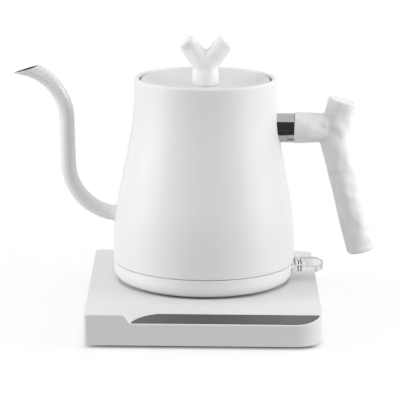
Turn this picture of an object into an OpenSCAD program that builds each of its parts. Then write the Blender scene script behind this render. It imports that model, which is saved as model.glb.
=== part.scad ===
// Electric gooseneck kettle on its cordless power base. Millimetres, +Z up.
// The origin is on the kettle's axis, in the plane that the base's feet stand on.
// +X runs towards the handle, -X towards the spout and -Y towards the front of the base.

/* [Power base] */
// Width of the base, left to right
base_w = 171; // [164:1:185]
// Length of the base, front to back
base_l = 198; // [192:1:215]
// Distance from the kettle's axis to the front face
base_front = 109.5; // [106:0.5:116]
// Height of the cover's walls, without the feet
base_h = 22.5; // [21:0.5:28]
// Thickness of the cover's walls
base_wall = 2.2; // [1.6:0.1:2.6]
// Plan radius of the front left, front right, back right and back left corners
base_corner_r = [3, 20, 9, 4]; // [3:1:24]
// Height of the rubber feet below the cover
foot_h = 2.5; // [1.5:0.5:5]
// Radius of each foot
foot_r = 8; // [5:0.5:10]
// Distance from the sides and ends of the base to a foot's centre
foot_inset = 19; // [17:1:24]
// Thickness of the bottom plate
plate_t = 2; // [1.5:0.25:3]
// How far the bottom plate sits up inside the cover's walls
plate_rise = 0.8; // [0.4:0.2:2]

/* [Base front slope] */
// How far back from the front face the slope starts
slope_run = 29; // [24:1:34]
// How far the slope drops at the front face
slope_drop = 6.7; // [5:0.1:8]
// Where the slope's end wall meets the front face at the top, along X
slope_end_x = -56.8; // [-62:0.1:-50]
// How far the end wall leans in at the front face
slope_end_lean = 5; // [3:0.5:7]
// How far the end wall runs to the right from front to back
slope_end_run = 15.8; // [12:0.2:20]
// Depth of the glossy trim strip, along Y
trim_reach = 15.2; // [12:0.2:18]
// Gap between the trim strip and the outline of the base
trim_inset = 1.2; // [0.8:0.1:2]
// Thickness of the trim strip
trim_t = 1.2; // [0.8:0.1:1.6]
// How far the trim strip stands proud of the slope
trim_proud = 0.25; // [0.1:0.05:0.4]
// Plan angle of the trim strip's left end
trim_end_angle = 45; // [35:1:55]

/* [Kettle body] */
// Largest diameter of the body
body_d = 136; // [130:1:142]
// Diameter of the rim
rim_d = 105.4; // [102:0.2:108]
// Height of the kettle from its underside to the top of the rim
body_h = 153.3; // [151:0.1:165]
// Thickness of the steel wall
wall = 0.8; // [0.6:0.1:1.1]
// Height of the seam between the bottom cover and the steel body
seam_h = 14.3; // [13.5:0.1:16]
// Height of the widest point
belly_h = 25.1; // [23:0.1:27]
// Radius of the curve of the belly
belly_arc = 210; // [195:1:215]
// Length of the straight part of the side, between the belly and the hollow curve below the rim
straight_l = 38; // [30:0.5:46]
// Height of the upright collar, up to the top of the rim
collar_l = 5.8; // [5:0.1:7]
// Radius of the rolled edge of the rim
curl_r = 1.7; // [1.4:0.1:2]
// Height of the kettle's underside above the base's top
kettle_gap = 0.5; // [0.3:0.1:1.5]

/* [Bottom cover] */
// How far the cover's wall lies inside the widest point of the body
cover_inset = 0.5; // [0.3:0.1:1.5]
// Radius of the rounding at the bottom edge
cover_edge_r = 9; // [7:0.5:10]
// Thickness of the bottom cover
cover_t = 2.2; // [1.6:0.1:2.6]
// Depth of the round seat in the base's top
seat_depth = 0.8; // [0.5:0.1:1.2]
// How far the seat's edge lies inside the cover's wall
seat_inset = 2.5; // [0:0.5:5]

/* [Spout] */
// Outer diameter of the spout tube
spout_d = 10; // [9:0.2:11.4]
// Wall of the spout tube
spout_wall = 0.7; // [0.5:0.1:1]
// Height of the spout's root above the kettle's underside
spout_root_h = 49; // [45:0.5:54]
// How far inside the body's surface the first bend starts
spout_sink = 4.6; // [3:0.1:6]
// Radius of the bend at the root
root_bend_r = 40; // [36:0.5:44]
// Angle of the bend at the root
root_bend = 88.2; // [86:0.1:90]
// Length of the straight riser
riser_l = 33.8; // [28:0.2:40]
// Radius of the bend at the top
tip_bend_r = 40; // [36:0.5:44]
// Angle of the bend at the top
tip_bend = 81.6; // [78:0.1:86]
// Length of the straight end, along its lower edge
tip_l = 3.4; // [2.5:0.1:8]
// Angle between the slanting cut and the horizontal
tip_cut = 17; // [14:0.5:22]

/* [Handle] */
// Height of the handle's arm above the kettle's underside
arm_h = 115.7; // [112:0.1:119]
// Outer diameter of the ferrule
ferrule_d = 22; // [20:0.2:24]
// Wall of the ferrule
ferrule_wall = 1; // [0.8:0.1:1.4]
// How far the ferrule stands out from the body
ferrule_l = 11.7; // [11:0.1:14]
// Diameter of the arm beside the ferrule
arm_d = 23.4; // [22:0.1:25]
// Diameter of the arm where it meets the grip
arm_end_d = 21.6; // [20:0.1:23]
// Length of the arm, from the ferrule to the fork
arm_l = 29.3; // [28:0.1:34]
// How far below the arm's axis the fork lies
fork_drop = 5.8; // [3:0.1:8]
// Lean of the grip away from the kettle
grip_lean = 14.8; // [12:0.1:17]
// Diameter of the grip
grip_d = 21.6; // [20:0.1:24]
// How much thinner the grip is at its waist
grip_waist = 1; // [0:0.1:2]
// Length of the grip below the fork
grip_l = 92; // [88:0.5:102]
// Diameter of the short branch
stub_d = 20.9; // [19:0.1:23]
// Length of the short branch above the fork
stub_l = 28; // [24:0.5:31]
// Lean of the short branch
stub_lean = 13.5; // [8:0.5:16]

/* [Lid] */
// Gap between the lid and the rolled edge of the rim
lid_gap = 1.1; // [0.8:0.1:1.5]
// How far the lid's edge lies below the rim
lid_drop = 1; // [0.6:0.1:1.4]
// How far the lid's edge stands above the ledge that carries it
lid_edge_h = 4.3; // [3.8:0.1:5]
// How far the middle of the lid is dished below its edge
lid_dish = 4.6; // [3.5:0.1:5]
// Thickness of the lid's sheet
lid_t = 0.8; // [0.6:0.1:1]
// Width of the ledge inside the neck
ledge_w = 5.3; // [4.8:0.1:6]
// Depth of the liner under the lid
liner_h = 9; // [8:0.5:12]
// Diameter of the knob's stem
stem_d = 19.6; // [17:0.2:21]
// Height of the knob's stem up to the fork
stem_h = 13.6; // [12:0.2:16]
// Length of each branch of the knob
branch_l = 24.4; // [20:0.2:26]
// Lean of each branch
branch_lean = 37.5; // [34:0.5:44]
// Diameter of each branch at its end
branch_d = 12.4; // [11:0.2:14]

/* [Switch lever] */
// Width of the lever
lever_w = 30; // [26:0.5:31]
// Thickness of the lever
lever_t = 4.4; // [4:0.1:5]
// How far the lever stands out from the bottom cover
lever_reach = 22.8; // [17:0.1:26]
// Height of the pivot above the kettle's underside
pivot_h = 10.9; // [10.4:0.1:11.2]
// Distance from the cover's wall in to the pivot
pivot_inset = 7.5; // [7:0.1:8]
// Radius of the pivot pin
pin_r = 1.25; // [1:0.05:1.5]
// Running clearance around the pin
pin_play = 0.05; // [0.02:0.01:0.1]
// How far the lever turns down when it is pressed, in degrees
lever_travel = 8; // [5:1:9]

/* [Heater] */
// Height of the water chamber's floor above the kettle's underside
floor_h = 23.5; // [23:0.5:26]
// Thickness of that floor
floor_t = 1.2; // [1:0.1:1.6]
// Gap between the aluminium plate under the floor and the steam tube
diffuser_gap = 2.5; // [1.5:0.1:4]
// Thickness of the aluminium plate
diffuser_t = 3.2; // [2.5:0.1:4]
// Distance from the aluminium plate's edge in to the middle of the heating element
element_inset = 7; // [6:0.5:8]
// Width and height of the element's section
element_size = [7, 6]; // [5:0.5:8]
// Outer radius of the steam tube
steam_r = 3; // [2.5:0.1:3.2]
// Distance from the rim in to the steam tube's axis, seen from above
steam_inset = 6.2; // [6:0.1:7]

/* [Connector] */
// Outer radius of the base's connector
conn_r = 15; // [14:0.25:15.5]
// How far the connector stands above the base's top
conn_h = 8; // [7:0.25:8.5]
// Middle radius of the inner and outer ring slots
slot_r = [7.4, 11.8]; // [7:0.1:12]
// Width of each ring slot
slot_w = 2.4; // [2:0.1:2.6]
// Radius of the hole for the earth pin
earth_hole_r = 3.3; // [3:0.1:3.6]
// Radius of the earth pin
earth_pin_r = 2.6; // [2.2:0.1:2.8]
// Thickness of the kettle's ring contacts
ring_t = 0.8; // [0.6:0.1:1]
// Radius of the bore that the cord passes through
cord_bore_r = 3.6; // [3:0.1:4]
// Length of the gland that holds the cord
gland_l = 12; // [10:0.5:16]

/* [Hidden] */
$fn = 96;
HULL_FN = 32;      // facets of the round pieces inside a hull
SLICE = 0.5;       // thickness of the slices that a hull joins
EPS = 0.01;        // overshoot of a cut past the face that it opens
FAR = 400;         // longer than anything in the model

// colours
WHITE = "white";
STEEL = "silver";
BLACK = [0.12, 0.12, 0.13];
RUBBER = [0.25, 0.25, 0.26];
COPPER = [0.8, 0.5, 0.3];
CLEAR = [0.85, 0.9, 0.92];

// clearances
fit_gap = 0.3;     // between a plate or disc and the walls around it
screw_gap = 0.1;   // around a screw's shank
slide_gap = 0.25;  // around a part that slides or turns by hand
seal_gap = 0.15;   // what the lid's seal is squeezed by

// levels of the base
base_top = foot_h + base_h;
seat_z = base_top - seat_depth;
plate_z = foot_h + plate_rise;
plate_top = plate_z + plate_t;
top_wall = base_wall + seat_depth;
cavity_top = base_top - top_wall;
base_back = base_l - base_front;
front_y = -base_front;
slope_a = atan(slope_drop / slope_run);
slope_y = front_y + slope_run;

// levels of the kettle
kettle_z = base_top + kettle_gap;
rim_z = kettle_z + body_h;
body_r = body_d / 2;
rim_r = rim_d / 2;
cover_r = body_r - cover_inset;
seat_r = cover_r - seat_inset;
floor_top = kettle_z + floor_h;
floor_z = floor_top - floor_t;
diffuser_z = floor_z - diffuser_t;
cover_floor_z = kettle_z + cover_t;

// Side of the body: a belly arc, a straight part that leans in, a hollow neck arc and an upright
// collar. The neck arc and the lean follow from the diameters, so that the parts meet smoothly.
collar_h = body_h - collar_l;
side_in = body_r - rim_r;
side_up = collar_h - belly_h;
arcs = (pow(side_in, 2) + pow(side_up, 2) - pow(straight_l, 2)) / (2 * side_in);
neck_arc = arcs - belly_arc;
side_lean = atan2(side_up, arcs - side_in) - atan2(straight_l, arcs);

// ends of the straight part, drawn in by an inset
function belly_end(inset) =
    [body_r - belly_arc + (belly_arc - inset) * cos(side_lean), belly_h + (belly_arc - inset) * sin(side_lean)];
function neck_start(inset) =
    [rim_r + neck_arc - (neck_arc + inset) * cos(side_lean), collar_h - (neck_arc + inset) * sin(side_lean)];
// outer radius of the body at a height above its underside
function side_r(h) =
    h < belly_end(0).y ? body_r - belly_arc + sqrt(pow(belly_arc, 2) - pow(h - belly_h, 2))
    : h < neck_start(0).y ? belly_end(0).x - (h - belly_end(0).y) * tan(side_lean)
    : h < collar_h ? rim_r + neck_arc - sqrt(pow(neck_arc, 2) - pow(collar_h - h, 2))
    : rim_r;

// screws: shank radius, head radius and head height
small_screw = [1.45, 2.7, 1.6];
screw_bite = 9;               // how far a cover screw reaches into its post
post_r = 4;
base_post_inset = [13, 38];   // from the sides, and from the back, to a cover post
base_post_front = 44;         // from the front face to the front pair of posts

// connector
conn_top = base_top + conn_h;
flange_r = 28;
flange_t = 2;
flange_z = cavity_top - 6;
slot_floor = flange_z + 3;
conn_screw_pcr = 24;
collar_t = 2.35;
collar_in = conn_r + slide_gap;
collar_out = collar_in + collar_t;
collar_z = seat_z + 0.2;
conn_hole_r = collar_out + 0.4;
socket_top = conn_top + 1;
socket_r = collar_out + 0.6;
socket_wall = 1.1;
control_r = 27;
control_top = socket_top + 3;
control_post_pcr = 22;
control_post_r = 3;
tail_places = [[0, 0], slot_r[0] * [cos(60), sin(60)], slot_r[1] * [cos(125), sin(125)]];
tail_r = 0.7;
tail_l = 4;               // how far the contacts' tails stand below the housing
contact_top_h = 8;        // height of the base's contacts above the floor of their slots
spring_wire = 1;
spring_turns = 3;

// cord gland at the back wall
gland_r = cord_bore_r + 2.4;
gland_flange_r = gland_r + 1.6;
gland_flange_t = 1.5;
gland_z = (plate_top + cavity_top) / 2;

// handle
arm_z = kettle_z + arm_h;
ferrule_end = side_r(arm_h) + ferrule_l;
fork_x = ferrule_end + arm_l;
ferrule_r = ferrule_d / 2;
spigot_r = ferrule_r - ferrule_wall - 0.2;
spigot_l = 9;
grub_r = 2;
grub_l = 9;
grub_x = ferrule_end - 4.5;

// lid
ledge_r = rim_r - wall - ledge_w;
lid_top = rim_z - lid_drop;
ledge_z = lid_top - lid_edge_h;
lid_r = rim_r - 2 * curl_r - lid_gap;
dish_z = lid_top - lid_dish;
liner_r = ledge_r - 0.7;
liner_z = ledge_z - liner_h;
lip_w = 2.4;
lid_hole_r = 2.1;
branch_shift = 0.8;       // from the stem's axis to a branch's axis, at the fork
knob_screw_gap = 2;       // from the knob's screw hole to the fork

// lever
pivot_z = kettle_z + pivot_h;
pivot_x = cover_r - pivot_inset;
lever_end = cover_r + lever_reach;
window_h = pivot_h - lever_t / 2 - (cover_r - pivot_x) * tan(lever_travel) - 1;   // clear of the pressed lever
hub_r = 3.3;
hub_w = 22;
lever_neck_w = 21;
lever_end_r = 24;
lever_z = pivot_z - lever_t / 2;
lever_root = cover_r + 1.4;
rib_pitch = 2.4;
ear_t = 2.4;

// where the spout's first bend starts, and how far the spout has climbed where it meets the body
spout_bend_x = side_r(spout_root_h) - spout_sink;
spout_rise = root_bend_r - sqrt(pow(root_bend_r, 2) - pow(spout_sink, 2));

deck_t = 2;
ear_y = hub_w / 2 + slide_gap;
bimetal_r = 6.4;
holder_r = bimetal_r + 0.6;
holder_h = 11;
holder_gap = 3.2;         // between the bimetal's holder and the lever's hub

// the steam tube stands inside the neck, and its foot leaves room for the hub
steam_x = min(rim_r - steam_inset, pivot_x - hub_r - holder_gap - holder_r);

// heater and control
diffuser_r = steam_x - steam_r - diffuser_gap;
element_r = diffuser_r - element_inset;
element_gap = 50;         // angle between the element's two ends, on the handle's side
terminal_a = element_gap / 2 + 4;
terminal_r = 1.2;
terminal_sink = 2;        // how far the terminals stand up into the element
control_angles = [90, 210, 330];
head_recess = 3;          // depth of the control screws' heads above the cover's floor
contact_root = 1.5;       // how deep the contacts sit in the control unit
contact_low_z = slot_floor + 3;
liner_t = 0.6;
cover_head_t = 1;

screw_inset = 6.5;        // from the cover's rounded edge in to its screws
cover_screw_pcr = cover_r - cover_edge_r - screw_inset;
cover_bite = 5;           // depth of the cover's screws in their studs
cover_screw_angles = [60, 180, 300];
stud_r = 3.2;
pad_r = 5;
pad_pcr = 46;
pad_angles = [30, 150, 270];

// ---- general shapes ----

function unit(v) = v / norm(v);
function side_of(a, b) = let (d = unit(b - a)) [-d.y, d.x];
// point i of a path, moved t to the left of the path
function shifted(path, i, t) =
    i == 0 ? path[0] + t * side_of(path[0], path[1])
    : i == len(path) - 1 ? path[i] + t * side_of(path[i - 1], path[i])
    : let (a = side_of(path[i - 1], path[i]), b = side_of(path[i], path[i + 1]))
      path[i] + t * (a + b) / (1 + a * b);

// section of a sheet of thickness t whose outer face follows a path
module sheet_section(path, t) {
    polygon(concat(path, [for (i = [len(path) - 1 : -1 : 0]) shifted(path, i, t)]));
}

module tube(r_out, r_in, h) {
    difference() {
        cylinder(r = r_out, h = h);
        translate([0, 0, -EPS]) cylinder(r = r_in, h = h + 2 * EPS);
    }
}

module around(radius, angles) {
    for (a = angles) rotate([0, 0, a]) translate([radius, 0, 0]) children();
}

// screw standing on its head, with the head's underside at z = 0
module screw(size, length) {
    translate([0, 0, -size[2]]) cylinder(r = size[1], h = size[2]);
    cylinder(r = size[0], h = length);
}

// thin round wire between two points
module wire(a, b, r) {
    d = b - a;
    translate(a)
        rotate([0, acos(d.z / norm(d)), atan2(d.y, d.x)])
            cylinder(r = r, h = norm(d));
}

// ---- power base ----

// outline of the base, drawn in by a given inset
module base_outline(inset) {
    x = base_w / 2 - inset;
    y0 = front_y + inset;
    y1 = base_back - inset;
    corners = [[-x, y0, 1, 1], [x, y0, -1, 1], [x, y1, -1, -1], [-x, y1, 1, -1]];
    difference() {
        translate([-x, y0]) square([2 * x, y1 - y0]);
        for (i = [0 : 3]) {
            c = corners[i];
            r = base_corner_r[i] - inset;
            if (r > 0)
                translate([c[0], c[1]]) scale([c[2], c[3]])
                    difference() {
                        translate([-EPS, -EPS]) square(r + EPS);
                        translate([r, r]) circle(r);
                    }
        }
    }
}

// everything above the front slope, at a depth below its face
module above_slope(depth) {
    translate([0, slope_y, base_top]) rotate([slope_a, 0, 0])
        translate([-FAR / 2, -FAR / 2, -depth]) cube([FAR, FAR / 2 + depth, FAR / 4]);
}

// everything to the right of the slope's end wall, with a margin around it
module beside_end_wall(margin) {
    plan_a = atan(slope_end_run / slope_run);
    tilt = atan(slope_end_lean * cos(plan_a) / slope_drop);
    translate([slope_end_x - margin, front_y, base_top]) rotate([0, 0, -plan_a]) rotate([0, -tilt, 0])
        translate([0, -FAR / 2, -FAR / 2]) cube([FAR, FAR, FAR]);
}

module slope_space(margin) {
    intersection() {
        above_slope(margin);
        beside_end_wall(margin);
    }
}

// the trim strip's form, made larger all round by a gap
module trim_form(gap, depth, rise) {
    intersection() {
        translate([0, 0, foot_h]) linear_extrude(base_h) base_outline(trim_inset - gap);
        difference() {
            above_slope(depth);
            above_slope(-rise);
        }
        translate([slope_end_x + slope_end_lean + 0.6 - gap, front_y, 0]) rotate([0, 0, -trim_end_angle])
            translate([0, -FAR / 2, 0]) cube([FAR, FAR, FAR / 4]);
        translate([-FAR / 2, front_y, 0]) cube([FAR, trim_reach + gap, FAR / 4]);
    }
}

module at_base_posts() {
    x = base_w / 2 - base_post_inset[0];
    for (sx = [-1, 1], y = [front_y + base_post_front, base_back - base_post_inset[1]])
        translate([sx * x, y, 0]) children();
}

module base_top_cover() {
    post_hole = small_screw[0] + screw_gap;
    color(WHITE) difference() {
        union() {
            difference() {
                translate([0, 0, foot_h]) linear_extrude(base_h) base_outline(0);
                slope_space(0);
                difference() {
                    translate([0, 0, foot_h - EPS])
                        linear_extrude(cavity_top - foot_h + EPS) base_outline(base_wall);
                    slope_space(base_wall + trim_t - trim_proud);
                }
            }
            at_base_posts() translate([0, 0, plate_top]) cylinder(r = post_r, h = cavity_top + 1 - plate_top);
            around(conn_screw_pcr, [0, 120, 240])
                translate([0, 0, flange_z + flange_t]) cylinder(r = post_r, h = cavity_top + 1 - flange_z - flange_t);
        }
        at_base_posts() translate([0, 0, plate_top - EPS]) cylinder(r = post_hole, h = screw_bite + 2);
        around(conn_screw_pcr, [0, 120, 240])
            translate([0, 0, flange_z]) cylinder(r = post_hole, h = cavity_top - flange_z);
        translate([0, 0, seat_z]) cylinder(r = seat_r, h = seat_depth + EPS);
        translate([0, 0, cavity_top - EPS]) cylinder(r = conn_hole_r, h = top_wall);
        trim_form(0.1, trim_t - trim_proud, 1);
        translate([0, base_back, gland_z]) rotate([90, 0, 0])
            translate([0, 0, -EPS]) cylinder(r = gland_r + screw_gap, h = base_wall + 2 * EPS);
    }
}

module base_bottom_plate() {
    vent_pitch = 7;
    vent_size = [2, 32];
    color(WHITE) difference() {
        translate([0, 0, plate_z]) linear_extrude(plate_t) base_outline(base_wall + fit_gap);
        at_base_posts() translate([0, 0, plate_z - EPS])
            cylinder(r = small_screw[0] + screw_gap, h = plate_t + 2 * EPS);
        for (i = [-2 : 2])
            translate([i * vent_pitch - vent_size[0] / 2, -vent_size[1] / 2, plate_z - EPS])
                cube([vent_size[0], vent_size[1], plate_t + 2 * EPS]);
    }
}

module front_trim_strip() {
    color(BLACK) trim_form(0, trim_t - trim_proud, trim_proud);
}

module base_feet() {
    x = base_w / 2 - foot_inset;
    color(RUBBER) for (sx = [-1, 1], y = [front_y + foot_inset, base_back - foot_inset])
        translate([sx * x, y, 0]) cylinder(r = foot_r, h = plate_z);
}

module base_screws() {
    color(STEEL) at_base_posts() translate([0, 0, plate_z]) screw(small_screw, plate_t + screw_bite);
}

module connector_housing() {
    color(BLACK) difference() {
        union() {
            translate([0, 0, flange_z]) cylinder(r = flange_r, h = flange_t);
            translate([0, 0, flange_z]) cylinder(r = conn_r, h = conn_top - flange_z);
        }
        translate([0, 0, slot_floor]) {
            cylinder(r = earth_hole_r, h = FAR);
            for (r = slot_r) tube(r + slot_w / 2, r - slot_w / 2, FAR);
        }
        around(conn_screw_pcr, [0, 120, 240])
            translate([0, 0, flange_z - EPS]) cylinder(r = small_screw[0] + screw_gap, h = flange_t + 2 * EPS);
        for (p = tail_places)
            translate([p.x, p.y, flange_z - EPS]) cylinder(r = tail_r + screw_gap, h = slot_floor - flange_z + 1);
    }
}

module connector_screws() {
    color(STEEL) around(conn_screw_pcr, [0, 120, 240])
        translate([0, 0, flange_z]) screw(small_screw, cavity_top - flange_z - 1);
}

module contact_tail(i) {
    translate([tail_places[i].x, tail_places[i].y, flange_z - tail_l])
        cylinder(r = tail_r, h = slot_floor - flange_z + tail_l + EPS);
}

// contact of the base: a floor ring and an upright spring ring in its slot, and a tail through the housing
module base_contact(i) {
    out = slot_r[i - 1] + slot_w / 2 - 0.05;
    color(COPPER) {
        translate([0, 0, slot_floor]) tube(out, out - slot_w + screw_gap, 0.6);
        translate([0, 0, slot_floor]) tube(out, out - 0.4, contact_top_h);
        contact_tail(i);
    }
}

module earth_contact() {
    out = earth_hole_r - screw_gap;
    color(COPPER) {
        translate([0, 0, slot_floor]) cylinder(r = out, h = 0.6);
        translate([0, 0, slot_floor]) tube(out, out - 0.3, contact_top_h);
        contact_tail(0);
    }
}

module inner_contact() { base_contact(1); }

module outer_contact() { base_contact(2); }

// spring around the connector: a round wire swept along a helix
module collar_spring() {
    z0 = flange_z + flange_t;
    rise = collar_z - z0 - spring_wire;
    coil_r = (collar_in + collar_out) / 2 - 0.1;
    sides = 8;
    steps = 24 * spring_turns;
    function ring(i) = let (a = 360 * spring_turns * i / steps, z = z0 + spring_wire / 2 + rise * i / steps)
        [for (k = [0 : sides - 1]) let (b = 360 * k / sides, r = coil_r + spring_wire / 2 * cos(b))
            [r * cos(a), r * sin(a), z + spring_wire / 2 * sin(b)]];
    points = [for (i = [0 : steps]) each ring(i)];
    walls = [for (i = [0 : steps - 1], k = [0 : sides - 1])
        let (a = i * sides + k, b = i * sides + (k + 1) % sides) [a, a + sides, b + sides, b]];
    ends = [[for (k = [0 : sides - 1]) k], [for (k = [sides - 1 : -1 : 0]) steps * sides + k]];
    color(STEEL) polyhedron(points, concat(walls, ends));
}

module guard_collar() {
    color(WHITE) translate([0, 0, collar_z]) tube(collar_out, collar_in, socket_top - collar_z);
}

module cord_gland() {
    color(BLACK) translate([0, base_back, gland_z]) rotate([90, 0, 0]) difference() {
        union() {
            translate([0, 0, -gland_flange_t]) cylinder(r = gland_flange_r, h = gland_flange_t);
            cylinder(r = gland_r, h = gland_l - gland_flange_t);
            translate([0, 0, base_wall]) cylinder(r = gland_flange_r, h = gland_flange_t);
        }
        translate([0, 0, -gland_flange_t - EPS]) cylinder(r = cord_bore_r, h = gland_l + 2 * EPS);
    }
}

module base_wires() {
    wire_r = 0.8;
    gland_x = [0, 2.2, -2.2];      // where the wires lie side by side in the gland
    y0 = base_back - gland_l - 3;
    color(COPPER) for (i = [0 : 2])
        wire([gland_x[i], y0, gland_z],
            [tail_places[i].x, tail_places[i].y + tail_r, flange_z - tail_l + wire_r], wire_r);
}

// ---- kettle body ----

// half section of the body's outer form, drawn in by an inset and measured from the kettle's underside
module body_section(inset, from_h, to_h) {
    b = belly_end(inset);
    n = neck_start(inset);
    intersection() {
        union() {
            intersection() {
                translate([body_r - belly_arc, belly_h]) circle(belly_arc - inset, $fn = 720);
                square([body_r, b.y]);
            }
            polygon([[0, b.y], b, n, [0, n.y]]);
            difference() {
                translate([0, n.y]) square([n.x, collar_h - n.y]);
                translate([rim_r + neck_arc, collar_h]) circle(neck_arc + inset, $fn = 720);
            }
            translate([0, collar_h - 1]) square([rim_r - inset, body_h - collar_h + 1]);
        }
        translate([0, from_h]) square([body_r, to_h - from_h]);
    }
}

// solid of the body's outer form, for cutting pieces that are welded to it
module body_form(inset, from_h, to_h) {
    translate([0, 0, kettle_z]) rotate_extrude($fn = 180) body_section(inset, from_h, to_h);
}

module curl_section() {
    c = [rim_r - curl_r, body_h - curl_r];
    translate(c) {
        difference() {
            circle(curl_r);
            circle(curl_r - wall);
            translate([-curl_r / 2, -2 * curl_r]) square([2 * curl_r, 2 * curl_r]);
        }
        translate([curl_r - wall, -1]) square([wall, 1 + EPS]);
    }
}

module body_shell() {
    color(WHITE) difference() {
        translate([0, 0, kettle_z]) rotate_extrude($fn = 180) {
            difference() {
                body_section(0, seam_h, body_h - curl_r);
                body_section(wall, seam_h - 1, body_h);
            }
            curl_section();
        }
        translate([-spout_bend_x, 0, kettle_z + spout_root_h + spout_rise])
            rotate([0, -90, 0]) cylinder(r = spout_d / 2 - spout_wall, h = 2 * (body_r - spout_bend_x), center = true);
    }
}

// ledge inside the neck that carries the lid
module neck_ring() {
    t = 0.8;
    lip = 4;            // depth of the upright lip around the opening
    top = ledge_z - kettle_z;
    low = top - 2 * lip;
    color(STEEL) translate([0, 0, kettle_z]) rotate_extrude() {
        difference() {
            body_section(wall, low, top);
            body_section(wall + t, low - 1, top - t);
            square([ledge_r, body_h]);
        }
        translate([ledge_r, top - lip]) square([t, lip]);
    }
}

// ---- spout ----

// A station of the spout's way is [x, z, climb]: its centre, and how steeply it climbs to the left.
function bent(at, radius, turn) = let (climb = at[2], next = climb + turn, s = sign(turn))
    [at[0] - s * radius * (sin(next) - sin(climb)), at[1] - s * radius * (cos(next) - cos(climb)), next];
function onward(at, length) = [at[0] - length * cos(at[2]), at[1] + length * sin(at[2]), at[2]];

bend_steps = 14;         // stations along each bend
way_sides = 20;          // sides of the spout's section
spout_root = [-spout_bend_x, kettle_z + spout_root_h, 0];
riser_foot = bent(spout_root, root_bend_r, root_bend);
riser_head = onward(riser_foot, riser_l);
tip_start = bent(riser_head, tip_bend_r, -tip_bend);
tip_end = onward(tip_start, tip_l);
spout_way = concat(
    [for (i = [0 : bend_steps]) bent(spout_root, root_bend_r, root_bend * i / bend_steps)],
    [for (i = [0 : bend_steps]) bent(riser_head, tip_bend_r, -tip_bend * i / bend_steps)],
    [onward(tip_end, spout_d / 2)]
);

// ring of points around a station
function way_ring(at, r) = [for (k = [0 : way_sides - 1]) let (t = 360 * k / way_sides)
    [at[0] + r * cos(t) * sin(at[2]), r * sin(t), at[1] + r * cos(t) * cos(at[2])]];

// bar swept along the spout's way, from inside the body
module spout_bar(r, lead) {
    way = concat([onward(spout_root, -lead)], spout_way);
    points = [for (at = way) each way_ring(at, r)];
    last = (len(way) - 1) * way_sides;
    walls = [for (i = [0 : len(way) - 2], k = [0 : way_sides - 1])
        let (a = i * way_sides + k, b = i * way_sides + (k + 1) % way_sides)
        [a, a + way_sides, b + way_sides, b]];
    ends = [[for (k = [0 : way_sides - 1]) k], [for (k = [way_sides - 1 : -1 : 0]) last + k]];
    polyhedron(points, concat(walls, ends));
}

module spout_tube() {
    r = spout_d / 2;
    lip = [tip_end[0] - r * sin(tip_end[2]), 0, tip_end[1] - r * cos(tip_end[2])];
    color(WHITE) difference() {
        spout_bar(r, 2);
        spout_bar(r - spout_wall, 3);
        body_form(0, spout_root_h - 2 * spout_d, spout_root_h + 2 * spout_d);
        translate(lip) rotate([0, -tip_cut, 0])
            translate([-FAR / 4, -FAR / 4, 0]) cube([FAR / 2, FAR / 2, FAR / 4]);
    }
}

// ---- heater and control ----

module heating_plate() {
    skirt_t = 1;
    stud_z = cover_floor_z;
    color(STEEL) difference() {
        union() {
            translate([0, 0, kettle_z]) rotate_extrude($fn = 180) difference() {
                body_section(wall, seam_h + 0.2, floor_h);
                body_section(wall + skirt_t, 0, floor_h - floor_t);
            }
            around(cover_screw_pcr, cover_screw_angles)
                translate([0, 0, stud_z]) cylinder(r = stud_r, h = floor_z - stud_z + EPS);
        }
        around(cover_screw_pcr, cover_screw_angles)
            translate([0, 0, stud_z - EPS]) cylinder(r = small_screw[0] + screw_gap, h = 8);
        translate([steam_x, 0, floor_z - EPS]) cylinder(r = steam_r + 1, h = floor_t + 2 * EPS);
    }
}

module diffuser_plate() {
    color(STEEL) translate([0, 0, diffuser_z]) cylinder(r = diffuser_r, h = diffuser_t);
}

module heating_element() {
    w = element_size[0];
    h = element_size[1];
    z = diffuser_z - h;
    color(STEEL) {
        translate([0, 0, z]) rotate([0, 0, element_gap / 2]) rotate_extrude(angle = 360 - element_gap)
            translate([element_r, h / 2]) {
                circle(h / 2);
                translate([-w / 2, 0]) square([w, h / 2]);
            }
        around(element_r, [terminal_a, -terminal_a])
            translate([0, 0, control_top + EPS]) cylinder(r = terminal_r, h = z + terminal_sink - control_top);
    }
}

// leads that lie on the control unit and end at the element's terminals
module element_leads() {
    lead_r = 0.8;
    from_r = control_post_pcr + control_post_r + 0.5;
    color(COPPER) for (a = [terminal_a, -terminal_a]) rotate([0, 0, a])
        wire([from_r, 0, control_top + lead_r + EPS], [element_r - terminal_r - EPS, 0, control_top + lead_r + EPS], lead_r);
}

module control_unit() {
    shank_hole = small_screw[0] + screw_gap;
    head_hole = small_screw[1] + screw_gap;
    color(BLACK) difference() {
        union() {
            translate([0, 0, cover_floor_z]) cylinder(r = control_r, h = control_top - cover_floor_z);
            translate([0, 0, kettle_z + 0.4])
                cylinder(r = socket_r + socket_wall, h = cover_floor_z - kettle_z);
            around(control_post_pcr, control_angles)
                translate([0, 0, control_top - EPS]) cylinder(r = control_post_r, h = diffuser_z - control_top + EPS);
        }
        translate([0, 0, kettle_z]) cylinder(r = socket_r, h = socket_top - kettle_z);
        around(control_post_pcr, control_angles)
            translate([0, 0, cover_floor_z - EPS]) {
                cylinder(r = shank_hole, h = control_top + 3 - cover_floor_z);
                cylinder(r = head_hole, h = head_recess + 2 * EPS);
            }
        translate([0, 0, socket_top - EPS]) {
            cylinder(r = earth_pin_r, h = contact_root);
            for (r = slot_r) tube(r + ring_t / 2, r - ring_t / 2, contact_root);
        }
    }
}

module control_screws() {
    color(STEEL) around(control_post_pcr, control_angles)
        translate([0, 0, cover_floor_z + head_recess]) screw(small_screw, control_top - cover_floor_z - head_recess + 2);
}

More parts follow.
